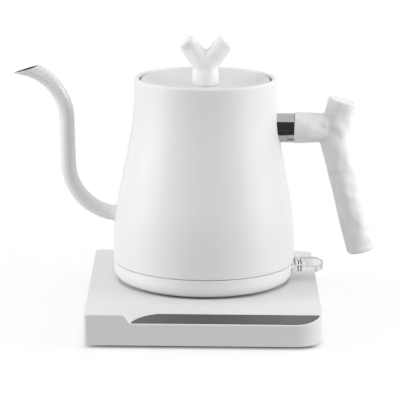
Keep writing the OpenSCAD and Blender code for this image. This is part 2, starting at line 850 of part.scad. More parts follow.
module earth_pin() {
    taper = 1;
    color(COPPER) translate([0, 0, contact_low_z - taper]) {
        cylinder(r1 = earth_pin_r - 0.8, r2 = earth_pin_r, h = taper);
        translate([0, 0, taper]) cylinder(r = earth_pin_r, h = socket_top + contact_root - EPS - contact_low_z);
    }
}

module ring_contact(radius) {
    low = contact_low_z + 2;
    color(COPPER) translate([0, 0, low])
        tube(radius + ring_t / 2, radius - ring_t / 2, socket_top + contact_root - EPS - low);
}

module inner_ring() { ring_contact(slot_r[0]); }

module outer_ring() { ring_contact(slot_r[1]); }

// ---- bottom cover ----

module cover_section(inset) {
    r = cover_r - inset;
    edge = cover_edge_r - inset;
    translate([0, inset]) {
        square([r - edge, seam_h]);
        translate([0, edge]) square([r, seam_h]);
        intersection() {
            translate([r - edge, edge]) circle(edge);
            square([r, edge]);
        }
    }
}

module bottom_cover() {
    color(WHITE) difference() {
        translate([0, 0, kettle_z]) rotate_extrude($fn = 180) difference() {
            intersection() {
                cover_section(0);
                square([body_r, seam_h]);
            }
            cover_section(cover_t);
            square([2 * (socket_r + socket_wall + fit_gap), 3 * cover_t], center = true);
        }
        around(cover_screw_pcr, cover_screw_angles) translate([0, 0, kettle_z - EPS]) {
            cylinder(r = small_screw[0] + screw_gap, h = cover_t + 2 * EPS);
            cylinder(r = small_screw[1] + screw_gap, h = cover_head_t);
        }
        translate([cover_r - 2 * cover_t, -lever_w / 2 - slide_gap, kettle_z + window_h])
            cube([3 * cover_t, lever_w + 2 * slide_gap, seam_h]);
    }
}

module bottom_cover_screws() {
    head = [small_screw[0], small_screw[1], cover_head_t - EPS];
    color(STEEL) around(cover_screw_pcr, cover_screw_angles)
        translate([0, 0, kettle_z + cover_head_t - EPS]) screw(head, cover_t + cover_bite);
}

module kettle_pads() {
    color(RUBBER) around(pad_pcr, pad_angles)
        translate([0, 0, seat_z]) cylinder(r = pad_r, h = kettle_z - seat_z);
}

// ---- switch ----

module switch_bracket() {
    deck_w = 2 * (ear_y + ear_t);
    web = 4.9;           // length of the web that carries each ear
    color(BLACK) difference() {
        union() {
            translate([pivot_x - 20, -deck_w / 2, cover_floor_z]) cube([20 - hub_r, deck_w, deck_t]);
            for (s = [-1, 1]) translate([pivot_x, s * (ear_y + ear_t / 2), pivot_z]) {
                rotate([90, 0, 0]) cylinder(r = hub_r - 0.3, h = ear_t, center = true);
                translate([-hub_r - 1.7, -ear_t / 2, cover_floor_z + deck_t / 2 - pivot_z])
                    cube([web, ear_t, pivot_z - cover_floor_z]);
            }
            translate([steam_x, 0, cover_floor_z]) cylinder(r = holder_r, h = holder_h);
        }
        translate([steam_x, 0, cover_floor_z + deck_t]) cylinder(r = bimetal_r - 1, h = holder_h);
        translate([pivot_x, 0, pivot_z]) rotate([90, 0, 0]) cylinder(r = pin_r, h = 2 * ear_y + 4 * ear_t, center = true);
    }
}

module pivot_pin() {
    color(STEEL) translate([pivot_x, 0, pivot_z]) rotate([90, 0, 0])
        cylinder(r = pin_r, h = 2 * (ear_y + ear_t), center = true);
}

module bimetal_disc() {
    color(STEEL) translate([steam_x, 0, cover_floor_z + holder_h]) cylinder(r = bimetal_r, h = 0.4);
}

module indicator_lamp() {
    board_x = steam_x + bimetal_r + 1;
    color(CLEAR) {
        translate([board_x, -3.5, cover_floor_z + deck_t]) cube([1, 7, 4.6]);
        translate([board_x + 1, 0, cover_floor_z + deck_t + 3.2]) rotate([0, 90, 0]) cylinder(r = 1.2, h = 1.2);
    }
}

module lever_outline() {
    intersection() {
        translate([lever_root, -lever_w / 2]) square([lever_end - lever_root, lever_w]);
        translate([lever_end - lever_end_r, 0]) circle(lever_end_r);
    }
}

module switch_lever() {
    color(CLEAR) difference() {
        union() {
            translate([0, 0, lever_z]) linear_extrude(lever_t) lever_outline();
            translate([pivot_x, -lever_neck_w / 2, lever_z + 0.8])
                cube([lever_root + 1 - pivot_x, lever_neck_w, lever_t - 1.6]);
            translate([pivot_x, 0, pivot_z]) rotate([90, 0, 0]) cylinder(r = hub_r, h = hub_w, center = true);
            for (i = [0 : 3])
                translate([lever_root + 1.5 + i * rib_pitch, -lever_w / 4, lever_z + lever_t - EPS])
                    cube([1, lever_w / 2, 0.5]);
        }
        translate([pivot_x, 0, pivot_z]) rotate([90, 0, 0])
            cylinder(r = pin_r + pin_play, h = hub_w + 1, center = true);
    }
}

// ---- steam tube ----

module steam_tube() {
    z0 = diffuser_z - 1;
    color(STEEL) translate([steam_x, 0, z0]) tube(steam_r, steam_r - 0.7, liner_z - 5 - z0);
}

module steam_grommet() {
    lip_t = 1.2;
    color(RUBBER) translate([steam_x, 0, 0]) {
        translate([0, 0, floor_z]) tube(steam_r + 1, steam_r, floor_t);
        translate([0, 0, floor_top]) tube(steam_r + 2.2, steam_r, lip_t);
        translate([0, 0, floor_z - lip_t]) tube(steam_r + 2.2, steam_r, lip_t);
    }
}

// ---- handle ----

module handle_ferrule() {
    color(STEEL) difference() {
        translate([0, 0, arm_z]) rotate([0, 90, 0]) tube(ferrule_r, ferrule_r - ferrule_wall, ferrule_end);
        body_form(0, seam_h, body_h);
        translate([grub_x, 0, arm_z - ferrule_r - 1]) cylinder(r = grub_r + screw_gap, h = 4);
    }
}

module handle_grip() {
    round_l = 4;     // length and depth of the rounded foot of the grip
    round_d = 3.5;
    top_round = 0.4; // the short branch is this much narrower at its end
    waist_d = grip_d - grip_waist;
    color(WHITE) difference() {
        union() {
            translate([ferrule_end - spigot_l, 0, arm_z]) rotate([0, 90, 0])
                cylinder(r = spigot_r, h = spigot_l + 1);
            hull() {
                translate([ferrule_end, 0, arm_z]) rotate([0, 90, 0])
                    cylinder(d = arm_d, h = SLICE, $fn = HULL_FN);
                translate([fork_x - fork_drop, 0, arm_z]) sphere(d = arm_end_d, $fn = HULL_FN);
            }
            translate([fork_x, 0, arm_z - fork_drop]) {
                hull() {
                    sphere(d = stub_d, $fn = HULL_FN);
                    rotate([0, stub_lean, 0]) translate([0, 0, stub_l - SLICE])
                        cylinder(d = stub_d - 2 * top_round, h = SLICE, $fn = HULL_FN);
                }
                rotate([0, 180 - grip_lean, 0]) {
                    hull() {
                        sphere(d = grip_d, $fn = HULL_FN);
                        translate([0, 0, grip_l / 2]) cylinder(d = waist_d, h = SLICE, $fn = HULL_FN);
                    }
                    hull() {
                        translate([0, 0, grip_l / 2]) cylinder(d = waist_d, h = SLICE, $fn = HULL_FN);
                        translate([0, 0, grip_l - round_l]) cylinder(d = grip_d, h = SLICE, $fn = HULL_FN);
                        translate([0, 0, grip_l - SLICE])
                            cylinder(d = grip_d - 2 * round_d, h = SLICE, $fn = HULL_FN);
                    }
                }
            }
        }
        translate([grub_x, 0, arm_z - ferrule_r - 1]) cylinder(r = grub_r + screw_gap, h = grub_l + 2);
    }
}

module handle_grub_screw() {
    color(STEEL) translate([grub_x, 0, arm_z - ferrule_r + 0.1]) difference() {
        cylinder(r = grub_r, h = grub_l);
        translate([0, 0, -EPS]) cylinder(r = 1.1, h = 2, $fn = 6);
    }
}

// ---- lid ----

module lid_disc() {
    edge = 0.7;      // chamfer of the lid's outer edge
    outer = [
        [lid_r, ledge_z],
        [lid_r, lid_top - edge],
        [lid_r - edge, lid_top],
        [lid_r - lip_w, lid_top],
        [lid_r - lip_w - 1.6, lid_top - 1],
        [lid_r - lip_w - 6, dish_z + 1],
        [lid_r - lip_w - 11, dish_z + 0.3],
        [stem_d / 2, dish_z],
        [lid_hole_r, dish_z]
    ];
    color(WHITE) difference() {
        rotate_extrude($fn = 180) sheet_section(outer, lid_t);
        translate([0, stem_d / 2 + 4, dish_z - 2]) cylinder(r = 1.5, h = 4);
    }
}

module lid_liner() {
    top = lid_top - lid_t - 0.9;
    section = [[lid_hole_r, liner_z], [liner_r, liner_z], [liner_r, top]];
    vent_pcr = liner_r / 2;
    color(STEEL) difference() {
        rotate_extrude() sheet_section(section, liner_t);
        around(vent_pcr, [30 : 60 : 330])
            translate([0, 0, liner_z - EPS]) cylinder(r = 1.6, h = 2);
    }
}

module lid_seal() {
    color(RUBBER) translate([0, 0, liner_z + 3]) tube(ledge_r - seal_gap, liner_r, 4);
}

module lid_knob() {
    fork_z = dish_z + stem_h;
    root_d = stem_d + 0.4;    // a hair wider than the stem, so that the fork's flats lie outside it
    color(WHITE) difference() {
        union() {
            translate([0, 0, dish_z]) cylinder(d = stem_d, h = stem_h);
            for (s = [-1, 1]) hull() {
                translate([0, 0, fork_z - 2 * SLICE]) cylinder(d = root_d, h = SLICE, $fn = HULL_FN);
                translate([s * branch_shift, 0, fork_z]) rotate([0, s * branch_lean, 0])
                    translate([0, 0, branch_l - SLICE]) cylinder(d = branch_d, h = SLICE, $fn = HULL_FN);
            }
        }
        translate([0, 0, dish_z - EPS]) cylinder(r = lid_hole_r, h = stem_h - knob_screw_gap);
    }
}

module lid_spacer() {
    z = liner_z + liner_t;
    color(STEEL) translate([0, 0, z]) tube(lid_hole_r + 2, lid_hole_r, dish_z - lid_t - z);
}

module lid_screw() {
    color(STEEL) translate([0, 0, liner_z])
        screw([lid_hole_r - screw_gap, 2 * lid_hole_r, 1.8], dish_z - liner_z + stem_h - 2 * knob_screw_gap);
}

base_top_cover();
base_bottom_plate();
front_trim_strip();
base_feet();
base_screws();
connector_housing();
connector_screws();
earth_contact();
inner_contact();
outer_contact();
collar_spring();
cord_gland();
base_wires();
guard_collar();
body_shell();
neck_ring();
spout_tube();
heating_plate();
diffuser_plate();
heating_element();
element_leads();
control_unit();
control_screws();
earth_pin();
inner_ring();
outer_ring();
bottom_cover();
bottom_cover_screws();
kettle_pads();
switch_bracket();
pivot_pin();
bimetal_disc();
indicator_lamp();
steam_tube();
steam_grommet();
handle_ferrule();
handle_grip();
handle_grub_screw();
switch_lever();
lid_disc();
lid_liner();
lid_seal();
lid_knob();
lid_spacer();
lid_screw();
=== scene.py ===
# %% [markdown]
# # A gooseneck kettle on its power base
# The object is a white electric kettle for pour-over coffee: a tapered body, a swan-neck spout, a handle and a
# lid knob shaped like cut branches, and a flat power base with a glossy dark strip. The rigid parts come in as
# a fixed frame, in metres. Those that make up its looks are modelled again here with softer edges, and all the
# others only get a finish.

import math

import bmesh
import bpy
from bmesh.types import BMEdge, BMFace, BMVert
from mathutils import Matrix, Vector, noise


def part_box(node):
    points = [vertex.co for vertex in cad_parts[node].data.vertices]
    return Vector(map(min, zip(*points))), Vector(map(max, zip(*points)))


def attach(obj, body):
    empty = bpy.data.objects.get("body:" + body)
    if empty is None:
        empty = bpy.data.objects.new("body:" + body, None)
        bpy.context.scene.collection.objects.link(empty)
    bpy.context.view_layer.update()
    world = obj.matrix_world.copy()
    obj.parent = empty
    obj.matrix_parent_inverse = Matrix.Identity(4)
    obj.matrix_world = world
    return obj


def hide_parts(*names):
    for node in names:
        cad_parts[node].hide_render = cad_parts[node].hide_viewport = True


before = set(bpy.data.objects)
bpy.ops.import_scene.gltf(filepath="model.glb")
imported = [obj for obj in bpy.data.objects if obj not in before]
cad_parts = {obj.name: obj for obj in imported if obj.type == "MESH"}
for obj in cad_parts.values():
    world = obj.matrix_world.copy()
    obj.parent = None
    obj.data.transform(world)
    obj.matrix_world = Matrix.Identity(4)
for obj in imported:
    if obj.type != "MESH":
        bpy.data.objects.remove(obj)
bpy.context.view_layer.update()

# %% [markdown]
# ## Shader wires
# A finish is a small graph of nodes. Written node by node it is long, so one class wraps the output of a node:
# plain arithmetic on it adds Math nodes, and its `node` method adds any other node.

# %% A socket that does arithmetic
class Wire:
    """The output of a shader node. Arithmetic on it adds Math nodes to the same tree."""

    def __init__(self, tree, socket=None):
        self.tree = tree
        self.socket = socket

    def node(self, kind, settings=None, sockets=None, out=0):
        """Adds a node: its settings first, then the values or links of its sockets."""
        made = self.tree.nodes.new(kind)
        for key, value in (settings or {}).items():
            if key == "stops":
                ramp = made.color_ramp.elements
                while len(ramp) < len(value):
                    ramp.new(0.5)
                for stop, (place, tone) in zip(ramp, value):
                    stop.position = place
                    stop.color = (tone, tone, tone, 1)
            else:
                setattr(made, key, value)
        for key, value in (sockets or {}).items():
            if isinstance(value, Wire):
                self.tree.links.new(value.socket, made.inputs[key])
            else:
                made.inputs[key].default_value = value
        return Wire(self.tree, None if out is None else made.outputs[out])

    def maths(self, operation, *values):
        return self.node("ShaderNodeMath", {"operation": operation}, dict(enumerate(values)))

    def __add__(self, other):
        return self.maths("ADD", self, other)

    def __sub__(self, other):
        return self.maths("SUBTRACT", self, other)

    def __rsub__(self, other):
        return self.maths("SUBTRACT", other, self)

    def __mul__(self, other):
        return self.maths("MULTIPLY", self, other)

    __radd__ = __add__
    __rmul__ = __mul__


print("shader maths is ready")

# %% [markdown]
# ## Soft noise and blends
# Real mouldings and coatings are never quite even, and small changes of tone and gloss keep a render from looking
# like plain clay. Soft noise on the object's own coordinates makes such changes, and a blend turns the noise into
# a colour or a roughness.

# %% Noise and blends
MM = 0.001


def feed(wires, shader, socket, wire):
    """Links a wire to a socket of a shader."""
    wires.tree.links.new(wire.socket, shader.inputs[socket])


def mix_tones(wires, factor, first, second):
    """Blends two colours, each a tuple or a wire."""
    # Some sockets of a Mix node share a name, so they go by number.
    pair = [tone if isinstance(tone, Wire) else (*tone, 1) for tone in (first, second)]
    return wires.node("ShaderNodeMix", {"data_type": "RGBA"}, {0: factor, 6: pair[0], 7: pair[1]}, out=2)


def between(span, share):
    """From the first to the second value of a span, by a wire that goes from 0 to 1."""
    return span[0] + (span[1] - span[0]) * share


def cloud(wires, place, size, detail=2.0):
    """Soft noise from 0 to 1 whose features measure about `size` millimetres."""
    return wires.node("ShaderNodeTexNoise", {}, {"Vector": place, "Scale": 1 / (size * MM), "Detail": detail})


print("noise and blends are ready")

# %% [markdown]
# ## One recipe for every finish
# All the finishes share a skeleton: a Principled shader whose constants sit on its own sockets, a base colour
# that wanders between two close tones in patches, a roughness that wanders in smaller ones, and a fine bump.

# %% Finish maker
TONE_PATCH, GLOSS_PATCH = 22, 9
finishes = {}


def blank_finish(name, tones, **constants):
    """A material with its constants and, where tones are given, a base colour that wanders between them."""
    material = bpy.data.materials.new(name)
    material.use_nodes = True
    shader = material.node_tree.nodes["Principled BSDF"]
    for socket, value in constants.items():
        shader.inputs[socket.replace("_", " ")].default_value = value
    wires = Wire(material.node_tree)
    place = wires.node("ShaderNodeTexCoord", out="Object")
    if tones:
        feed(wires, shader, "Base Color", mix_tones(wires, cloud(wires, place, TONE_PATCH), *tones))
    finishes[name] = material
    return wires, place, shader


def give_surface(wires, shader, roughness, height, depth):
    """Feeds the roughness and a bump. A height of 1 stands for the depth."""
    bumped = wires.node("ShaderNodeBump", {}, {"Height": height, "Distance": depth, "Strength": 1.0})
    feed(wires, shader, "Roughness", roughness)
    feed(wires, shader, "Normal", bumped)


def new_finish(name, tones, roughness, grain, bump, lumps=None, **constants):
    """A coating or plastic with a bump of `bump` millimetres at `grain` millimetres.

    Lumps are a second, broader bump: its size and its height in millimetres.
    """
    wires, place, shader = blank_finish(name, tones, **constants)
    height = cloud(wires, place, grain, 3) * bump
    if lumps:
        height = height + cloud(wires, place, lumps[0], 1) * lumps[1]
    give_surface(wires, shader, between(roughness, cloud(wires, place, GLOSS_PATCH, 4)), height, MM)
    return wires, place, shader


print("finish maker is ready")

# %% [markdown]
# ## The white finishes
# The body, lid and spout carry a satin coating with a faint orange peel, and the spout's is the glossiest. The
# bottom ring and the base are moulded plastic with a finer, spark-eroded grain. The branches are soft to the
# touch, so they are the dullest and have broad shallow waves. The lid has the body's coating, but its tone is
# made greyer as painted shade on its top; the branches are the lightest.

# %% Whites
new_finish("enamel white", ((0.80, 0.80, 0.80), (0.83, 0.83, 0.828)), (0.46, 0.54), 1.1, 0.012,
           Coat_Weight=0.08, Coat_Roughness=0.40)
# The lid's white is a greyer copy of the body's: painted shade.
new_finish("lid enamel", ((0.71, 0.71, 0.72), (0.75, 0.75, 0.748)), (0.40, 0.48), 1.1, 0.012)
new_finish("spout enamel", ((0.77, 0.77, 0.77), (0.80, 0.80, 0.798)), (0.28, 0.36), 1.1, 0.003,
           Coat_Weight=0.7, Coat_Roughness=0.24)
new_finish("moulded white", ((0.80, 0.80, 0.80), (0.83, 0.83, 0.828)), (0.38, 0.46), 0.35, 0.008)
new_finish("base white", ((0.765, 0.765, 0.765), (0.795, 0.795, 0.793)), (0.40, 0.48), 0.35, 0.008)
new_finish("branch white", ((0.85, 0.85, 0.848), (0.88, 0.88, 0.878)), (0.54, 0.66), 2.4, 0.03, lumps=(14, 4.5))
print("whites:", ", ".join(finishes))

# %% [markdown]
# ## Dark, clear and rubbery finishes
# The strip is glossy and nearly black; what brightens it is the reflection of the white body above it. The
# switch lever is clear moulded plastic: full transmission with the refractive index of acrylic.

# %% Plastics and rubbers
new_finish("strip black", ((0.030, 0.030, 0.032), (0.045, 0.045, 0.047)), (0.07, 0.15), 6, 0.004,
           Coat_Weight=0.6, Coat_Roughness=0.05)
new_finish("matt black", ((0.022, 0.022, 0.024), (0.034, 0.034, 0.036)), (0.50, 0.62), 0.4, 0.02)
new_finish("rubber grey", ((0.055, 0.055, 0.057), (0.085, 0.085, 0.087)), (0.74, 0.88), 0.6, 0.03)
new_finish("silicone", ((0.62, 0.62, 0.61), (0.70, 0.70, 0.69)), (0.40, 0.52), 1.5, 0.02,
           Subsurface_Weight=0.2, Subsurface_Scale=0.002)
# A near-black finish for the spout's bore: painted shade, not a colour of the tube itself.
new_finish("dark bore", ((0.020, 0.020, 0.021), (0.034, 0.034, 0.035)), (0.42, 0.55), 3, 0.02)
# Dark grey faces of the lever's grooves and nicks: painted shade.
new_finish("smoky groove", ((0.10, 0.10, 0.10), (0.16, 0.16, 0.16)), (0.30, 0.40), 2, 0.01)
new_finish("clear plastic", ((0.74, 0.745, 0.75), (0.80, 0.805, 0.81)), (0.02, 0.06), 3, 0.05,
           Transmission_Weight=1.0, IOR=1.49)
print("finishes so far:", len(finishes))

# %% [markdown]
# ## Metals
# Sheet parts are brushed: the bump and the roughness follow noise that is stretched along one direction, so the
# scratches run round the part. The ferrule is polished, so its scratches are shallow.

# %% Metals
SCRATCH_SCALE = 900.0


def new_metal(name, tones, roughness, stretch, bump):
    """A metal whose scratches run along the axes where `stretch` is small."""
    wires, place, shader = blank_finish(name, tones, Metallic=1.0)
    drawn = wires.node("ShaderNodeMapping", {}, {"Vector": place, "Scale": stretch})
    lines = wires.node("ShaderNodeTexNoise", {}, {"Vector": drawn, "Scale": SCRATCH_SCALE, "Detail": 4.0})
    give_surface(wires, shader, between(roughness, lines), lines, bump * MM)


new_metal("polished steel", ((0.42, 0.42, 0.43), (0.46, 0.46, 0.47)), (0.07, 0.12), (1.6, 0.06, 0.06), 0.001)
new_metal("brushed steel", ((0.50, 0.50, 0.51), (0.58, 0.58, 0.59)), (0.24, 0.38), (0.08, 0.08, 2.2), 0.006)
new_metal("cast aluminium", ((0.60, 0.61, 0.62), (0.70, 0.70, 0.71)), (0.38, 0.52), (0.6, 0.6, 0.6), 0.03)
new_metal("contact brass", ((0.62, 0.43, 0.17), (0.72, 0.52, 0.24)), (0.22, 0.34), (0.3, 0.3, 1.4), 0.006)
print("finishes so far:", len(finishes))

# %% [markdown]
# The mains wires inside the base lie side by side, so one material can colour all three: brown to the right,
# blue to the left, and green with yellow stripes in the middle.

# %% Wire insulation
MIDDLE_WIRE = 1.6 * MM
GREEN, YELLOW, BLUE, BROWN = (0.02, 0.22, 0.03), (0.75, 0.62, 0.03), (0.02, 0.08, 0.40), (0.16, 0.06, 0.025)
wires, place, shader = new_finish("wire insulation", None, (0.35, 0.45), 1, 0.01)
across = wires.node("ShaderNodeSeparateXYZ", {}, {"Vector": place}, out="X")
stripes = wires.node("ShaderNodeTexWave", {}, {"Vector": place, "Scale": 90.0, "Distortion": 1.0}, out="Fac")
earth = mix_tones(wires, stripes, GREEN, YELLOW)
left = mix_tones(wires, wires.maths("LESS_THAN", across, -MIDDLE_WIRE), earth, BLUE)
feed(wires, shader, "Base Color", mix_tones(wires, wires.maths("GREATER_THAN", across, MIDDLE_WIRE), left, BROWN))
print("insulation colours follow the wires")

# %% [markdown]
# ## Dressing the frame
# Every part of the frame gets its finish here. Most stay as they are, because nobody sees more of a contact or
# a screw than its colour. The visible parts are replaced further down.

# %% Finishes of the frame's parts
PARTS = {
    "enamel white": "body_shell spout_tube",
    "lid enamel": "lid_disc",
    "moulded white": "base_top_cover base_bottom_plate guard_collar bottom_cover cord_gland",
    "branch white": "handle_grip lid_knob",
    "strip black": "front_trim_strip",
    "matt black": "connector_housing control_unit switch_bracket",
    "rubber grey": "base_feet kettle_pads",
    "silicone": "steam_grommet lid_seal",
    "clear plastic": "indicator_lamp switch_lever",
    "polished steel": "handle_ferrule handle_grub_screw",
    "brushed steel": "base_screws connector_screws collar_spring neck_ring heating_plate heating_element "
                     "control_screws bottom_cover_screws pivot_pin bimetal_disc steam_tube lid_liner lid_spacer "
                     "lid_screw",
    "cast aluminium": "diffuser_plate",
    "contact brass": "earth_contact inner_contact outer_contact earth_pin inner_ring outer_ring",
    "wire insulation": "base_wires element_leads",
}
for finish, names in PARTS.items():
    for name in names.split():
        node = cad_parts[name]
        node.data.materials.clear()
        node.data.materials.append(finishes[finish])
print("dressed", sum(len(names.split()) for names in PARTS.values()), "of", len(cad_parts), "parts")

# %% [markdown]
# ## Turning a mesh into a piece
# Pieces are modelled in millimetres, in place, and scaled to metres at the end. Edges sharper than a limit stay
# crisp and the rest shade smoothly. Broad flats beside small bevels get area-weighted normals, so that the
# flats stay flat under gloss.

# %% Piece maker
def meshed(name, bm):
    """The mesh of a bmesh, which is freed."""
    mesh = bpy.data.meshes.new(name)
    bm.to_mesh(mesh)
    bm.free()
    return mesh


def placed(name, data):
    """A new object in the scene."""
    made = bpy.data.objects.new(name, data)
    bpy.context.scene.collection.objects.link(made)
    return made


def new_piece(name, bm, finish, body, replaces, sharp=32, even=False, lining=None):
    """Makes a piece on a body from a bmesh in millimetres. A lining is a finish and a test of its faces."""
    bm.faces.index_update()
    if lining:
        for face in bm.faces:
            face.material_index = int(lining[1](face))
    bmesh.ops.scale(bm, vec=(MM, MM, MM), verts=bm.verts)
    for face in bm.faces:
        face.smooth = True
    for edge in bm.edges:
        edge.smooth = edge.calc_face_angle(0) < math.radians(sharp)
    mesh = meshed(name, bm)
    for worn in [finish] + ([lining[0]] if lining else []):
        mesh.materials.append(finishes[worn])
    piece = placed(name, mesh)
    if even:
        piece.modifiers.new("even shading", "WEIGHTED_NORMAL").keep_sharp = True
    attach(piece, body)
    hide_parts(*replaces)
    print(f"{name}: {len(mesh.polygons)} faces on {body}")


print("piece maker is ready")

# %% [markdown]
# Some steps exist only as modifiers, such as a boolean cut, a wall or a voxel remesh. These helpers run one
# modifier on a bmesh and give the result back as a bmesh.

# %% Modifiers as steps
def modified(bm, kind, **settings):
    """The bmesh after one modifier. Frees the old bmesh."""
    step = placed("step", meshed("step", bm))
    modifier = step.modifiers.new("step", kind)
    for key, value in settings.items():
        setattr(modifier, key, value)
    result = bmesh.new()
    result.from_object(step, bpy.context.evaluated_depsgraph_get())
    bpy.data.objects.remove(step)
    return result


def cut_away(bm, *cutters):
    """Takes the cutters' solids out of the bmesh, and frees them."""
    for cutter in cutters:
        tool = placed("cutter", meshed("cutter", cutter))
        bm = modified(bm, "BOOLEAN", object=tool, operation="DIFFERENCE", solver="EXACT")
        bpy.data.objects.remove(tool)
    return bm


print("cuts and remeshes are ready")

# %% [markdown]
# ## Turned parts
# The body, the bottom ring, the lid and the ferrule are round, so each is a half section spun about an axis.
# The section is a chain of points in (radius, height). A corner that is given a third number is rounded by
# bevelling that vertex of the chain before the spin, just as a toolmaker eases a corner of the section.

# %% Lathe
def arc(centre, radius, start, end, steps):
    """Points on an arc, with angles in degrees."""
    turns = [math.radians(start + (end - start) * i / steps) for i in range(steps + 1)]
    return [(centre[0] + radius * math.cos(a), centre[1] + radius * math.sin(a)) for a in turns]


def rounded(bm, corner, radius, segments):
    """Rounds one corner of a chain or of a flat face."""
    bmesh.ops.bevel(bm, geom=[corner], offset=radius, offset_type="OFFSET", segments=segments, profile=0.5,
                    affect="VERTICES", material=-1)


def eased(bm, edges, width):
    """Rounds edges over a small width."""
    bmesh.ops.bevel(bm, geom=edges, offset=width, offset_type="OFFSET", segments=3, profile=0.5, affect="EDGES",
                    material=-1, clamp_overlap=False)


def lathe(section, steps):
    """Spins a half section of (radius, height) or (radius, height, rounding) corners about the upright axis."""
    bm = bmesh.new()
    chain = [bm.verts.new((corner[0], 0, corner[1])) for corner in section]
    for first, second in zip(chain, chain[1:] + chain[:1]):
        bm.edges.new((first, second))
    for vert, corner in zip(chain, section):
        if len(corner) == 3:
            rounded(bm, vert, corner[2], 5)
    bmesh.ops.spin(bm, geom=bm.verts[:] + bm.edges[:], cent=(0, 0, 0), axis=(0, 0, 1), angle=2 * math.pi,
                   steps=steps, use_merge=True)
    bmesh.ops.remove_doubles(bm, verts=bm.verts, dist=1e-4)
    bmesh.ops.recalc_face_normals(bm, faces=bm.faces)
    return bm


print("lathe is ready")

# %% [markdown]
# Rods, blocks and plates are the other stock shapes. Here they serve as cutters, and a plate with rounded
# corners is also the start of the base.

# %% Stock shapes
def only(parts, kind):
    """The parts of an operator's result that are of one kind."""
    return [part for part in parts if isinstance(part, kind)]


def rod(radius, length, centre, axis="Z", sides=48):
    """A closed cylinder, for a pin or a cutter, centred on a point."""
    bm = bmesh.new()
    bmesh.ops.create_cone(bm, cap_ends=True, segments=sides, radius1=radius, radius2=radius, depth=length)
    turn = {"X": Matrix.Rotation(math.pi / 2, 4, "Y"), "Y": Matrix.Rotation(math.pi / 2, 4, "X"), "Z": Matrix()}
    bmesh.ops.transform(bm, matrix=Matrix.Translation(centre) @ turn[axis], verts=bm.verts)
    return bm


def block(low, high):
    """A closed box between two corners."""
    bm = bmesh.new()
    bmesh.ops.create_cube(bm, size=1)
    size = Vector(high) - Vector(low)
    bmesh.ops.scale(bm, vec=size, verts=bm.verts)
    bmesh.ops.translate(bm, vec=Vector(low) + size / 2, verts=bm.verts)
    return bm


def thickened(bm, way):
    """Extrudes the flat faces of a bmesh along a vector into a closed solid."""
    made = bmesh.ops.extrude_face_region(bm, geom=bm.faces[:])["geom"]
    bmesh.ops.translate(bm, vec=way, verts=only(made, BMVert))
    bmesh.ops.recalc_face_normals(bm, faces=bm.faces)
    return bm


print("stock shapes are ready")

# %% [markdown]
# ## Kettle body
# The side is one flowing line: a full belly arc low down, a short straight and a long hollow arc below the rim.
# The hollow arc's radius and the straight's lean are worked out from the other sizes, so that all three meet
# without a kink. The same line, drawn in a little, serves for the inside of the wall and for the ferrule's end.

# %% Side of the body
KETTLE_Z = 25.5
BODY_R, RIM_R, BODY_H, WALL = 68.0, 52.7, 153.3, 0.8
BELLY_H, BELLY_ARC, STRAIGHT, COLLAR_H = 25.1, 210.0, 38.0, 147.5
side_in, side_up = BODY_R - RIM_R, COLLAR_H - BELLY_H
arcs = (side_in**2 + side_up**2 - STRAIGHT**2) / (2 * side_in)
neck_arc = arcs - BELLY_ARC
lean = math.degrees(math.atan2(side_up, arcs - side_in) - math.atan2(STRAIGHT, arcs))
belly_centre = (BODY_R - BELLY_ARC, KETTLE_Z + BELLY_H)
neck_centre = (RIM_R + neck_arc, KETTLE_Z + COLLAR_H)
rim_z = KETTLE_Z + BODY_H


def body_side(inset, foot_z):
    """The body's side from a height up to the collar, drawn in by an inset."""
    start = math.degrees(math.asin((foot_z - belly_centre[1]) / (BELLY_ARC - inset)))
    return (arc(belly_centre, BELLY_ARC - inset, start, lean, 16)
            + arc(neck_centre, neck_arc + inset, 180 + lean, 180, 16))


print("side leans", round(lean, 2), "degrees, neck arc", round(neck_arc, 1), "mm")

# %% [markdown]
# The wall is 0.8 mm steel, so the section runs up the outside, over a rolled edge and down the inside. The steel
# is coated outside and over the rim, and bare inside. A hole in its left side lets the water into the spout.

# %% Body
SEAM_Z, SEAM_GAP, FOOT_ROUND = 39.8, 0.45, 0.3
CURL_R, CURL_TURN, CURL_LIP, COATED_LIP = 1.7, 215, 0.6, 5
SPOUT_START, SPOUT_H, SPOUT_HOLE_R, SPOUT_HOLE_LIFT = -62.04, 49, 4.3, 0.27
outside = body_side(0, SEAM_Z + SEAM_GAP)
outside[0] += (FOOT_ROUND,)
inside = body_side(WALL, SEAM_Z + SEAM_GAP)[::-1]
curl = arc((RIM_R - CURL_R, rim_z - CURL_R), CURL_R, 0, CURL_TURN, 14)
curl_z = rim_z - 2 * CURL_R
curl_end = [(RIM_R - WALL - CURL_LIP, curl_z + 0.5), (RIM_R - WALL, curl_z - 1)]
body = lathe(outside + curl + curl_end + inside, 256)
spout_foot = Vector((SPOUT_START, 0, KETTLE_Z + SPOUT_H))
body = cut_away(body, rod(SPOUT_HOLE_R, 14, spout_foot + Vector((0, 0, SPOUT_HOLE_LIFT)), "X"))


def faces_inward(face):
    """Whether a face belongs to the bare steel inside, below the coated rim."""
    middle = face.calc_center_median()
    return face.normal.x * middle.x + face.normal.y * middle.y < 0 and middle.z < rim_z - COATED_LIP


new_piece("kettle_body", body, "enamel white", "kettle", ["body_shell"], sharp=50,
          lining=("brushed steel", faces_inward))

# %% [markdown]
# ## Bottom ring
# A moulded ring closes the body from below. A fine dark seam parts it from the steel, its lower edge is well
# rounded, and it hovers a little above the base on rubber pads, which leaves a thin contact shadow. It has a
# window for the switch lever and three screw recesses underneath.

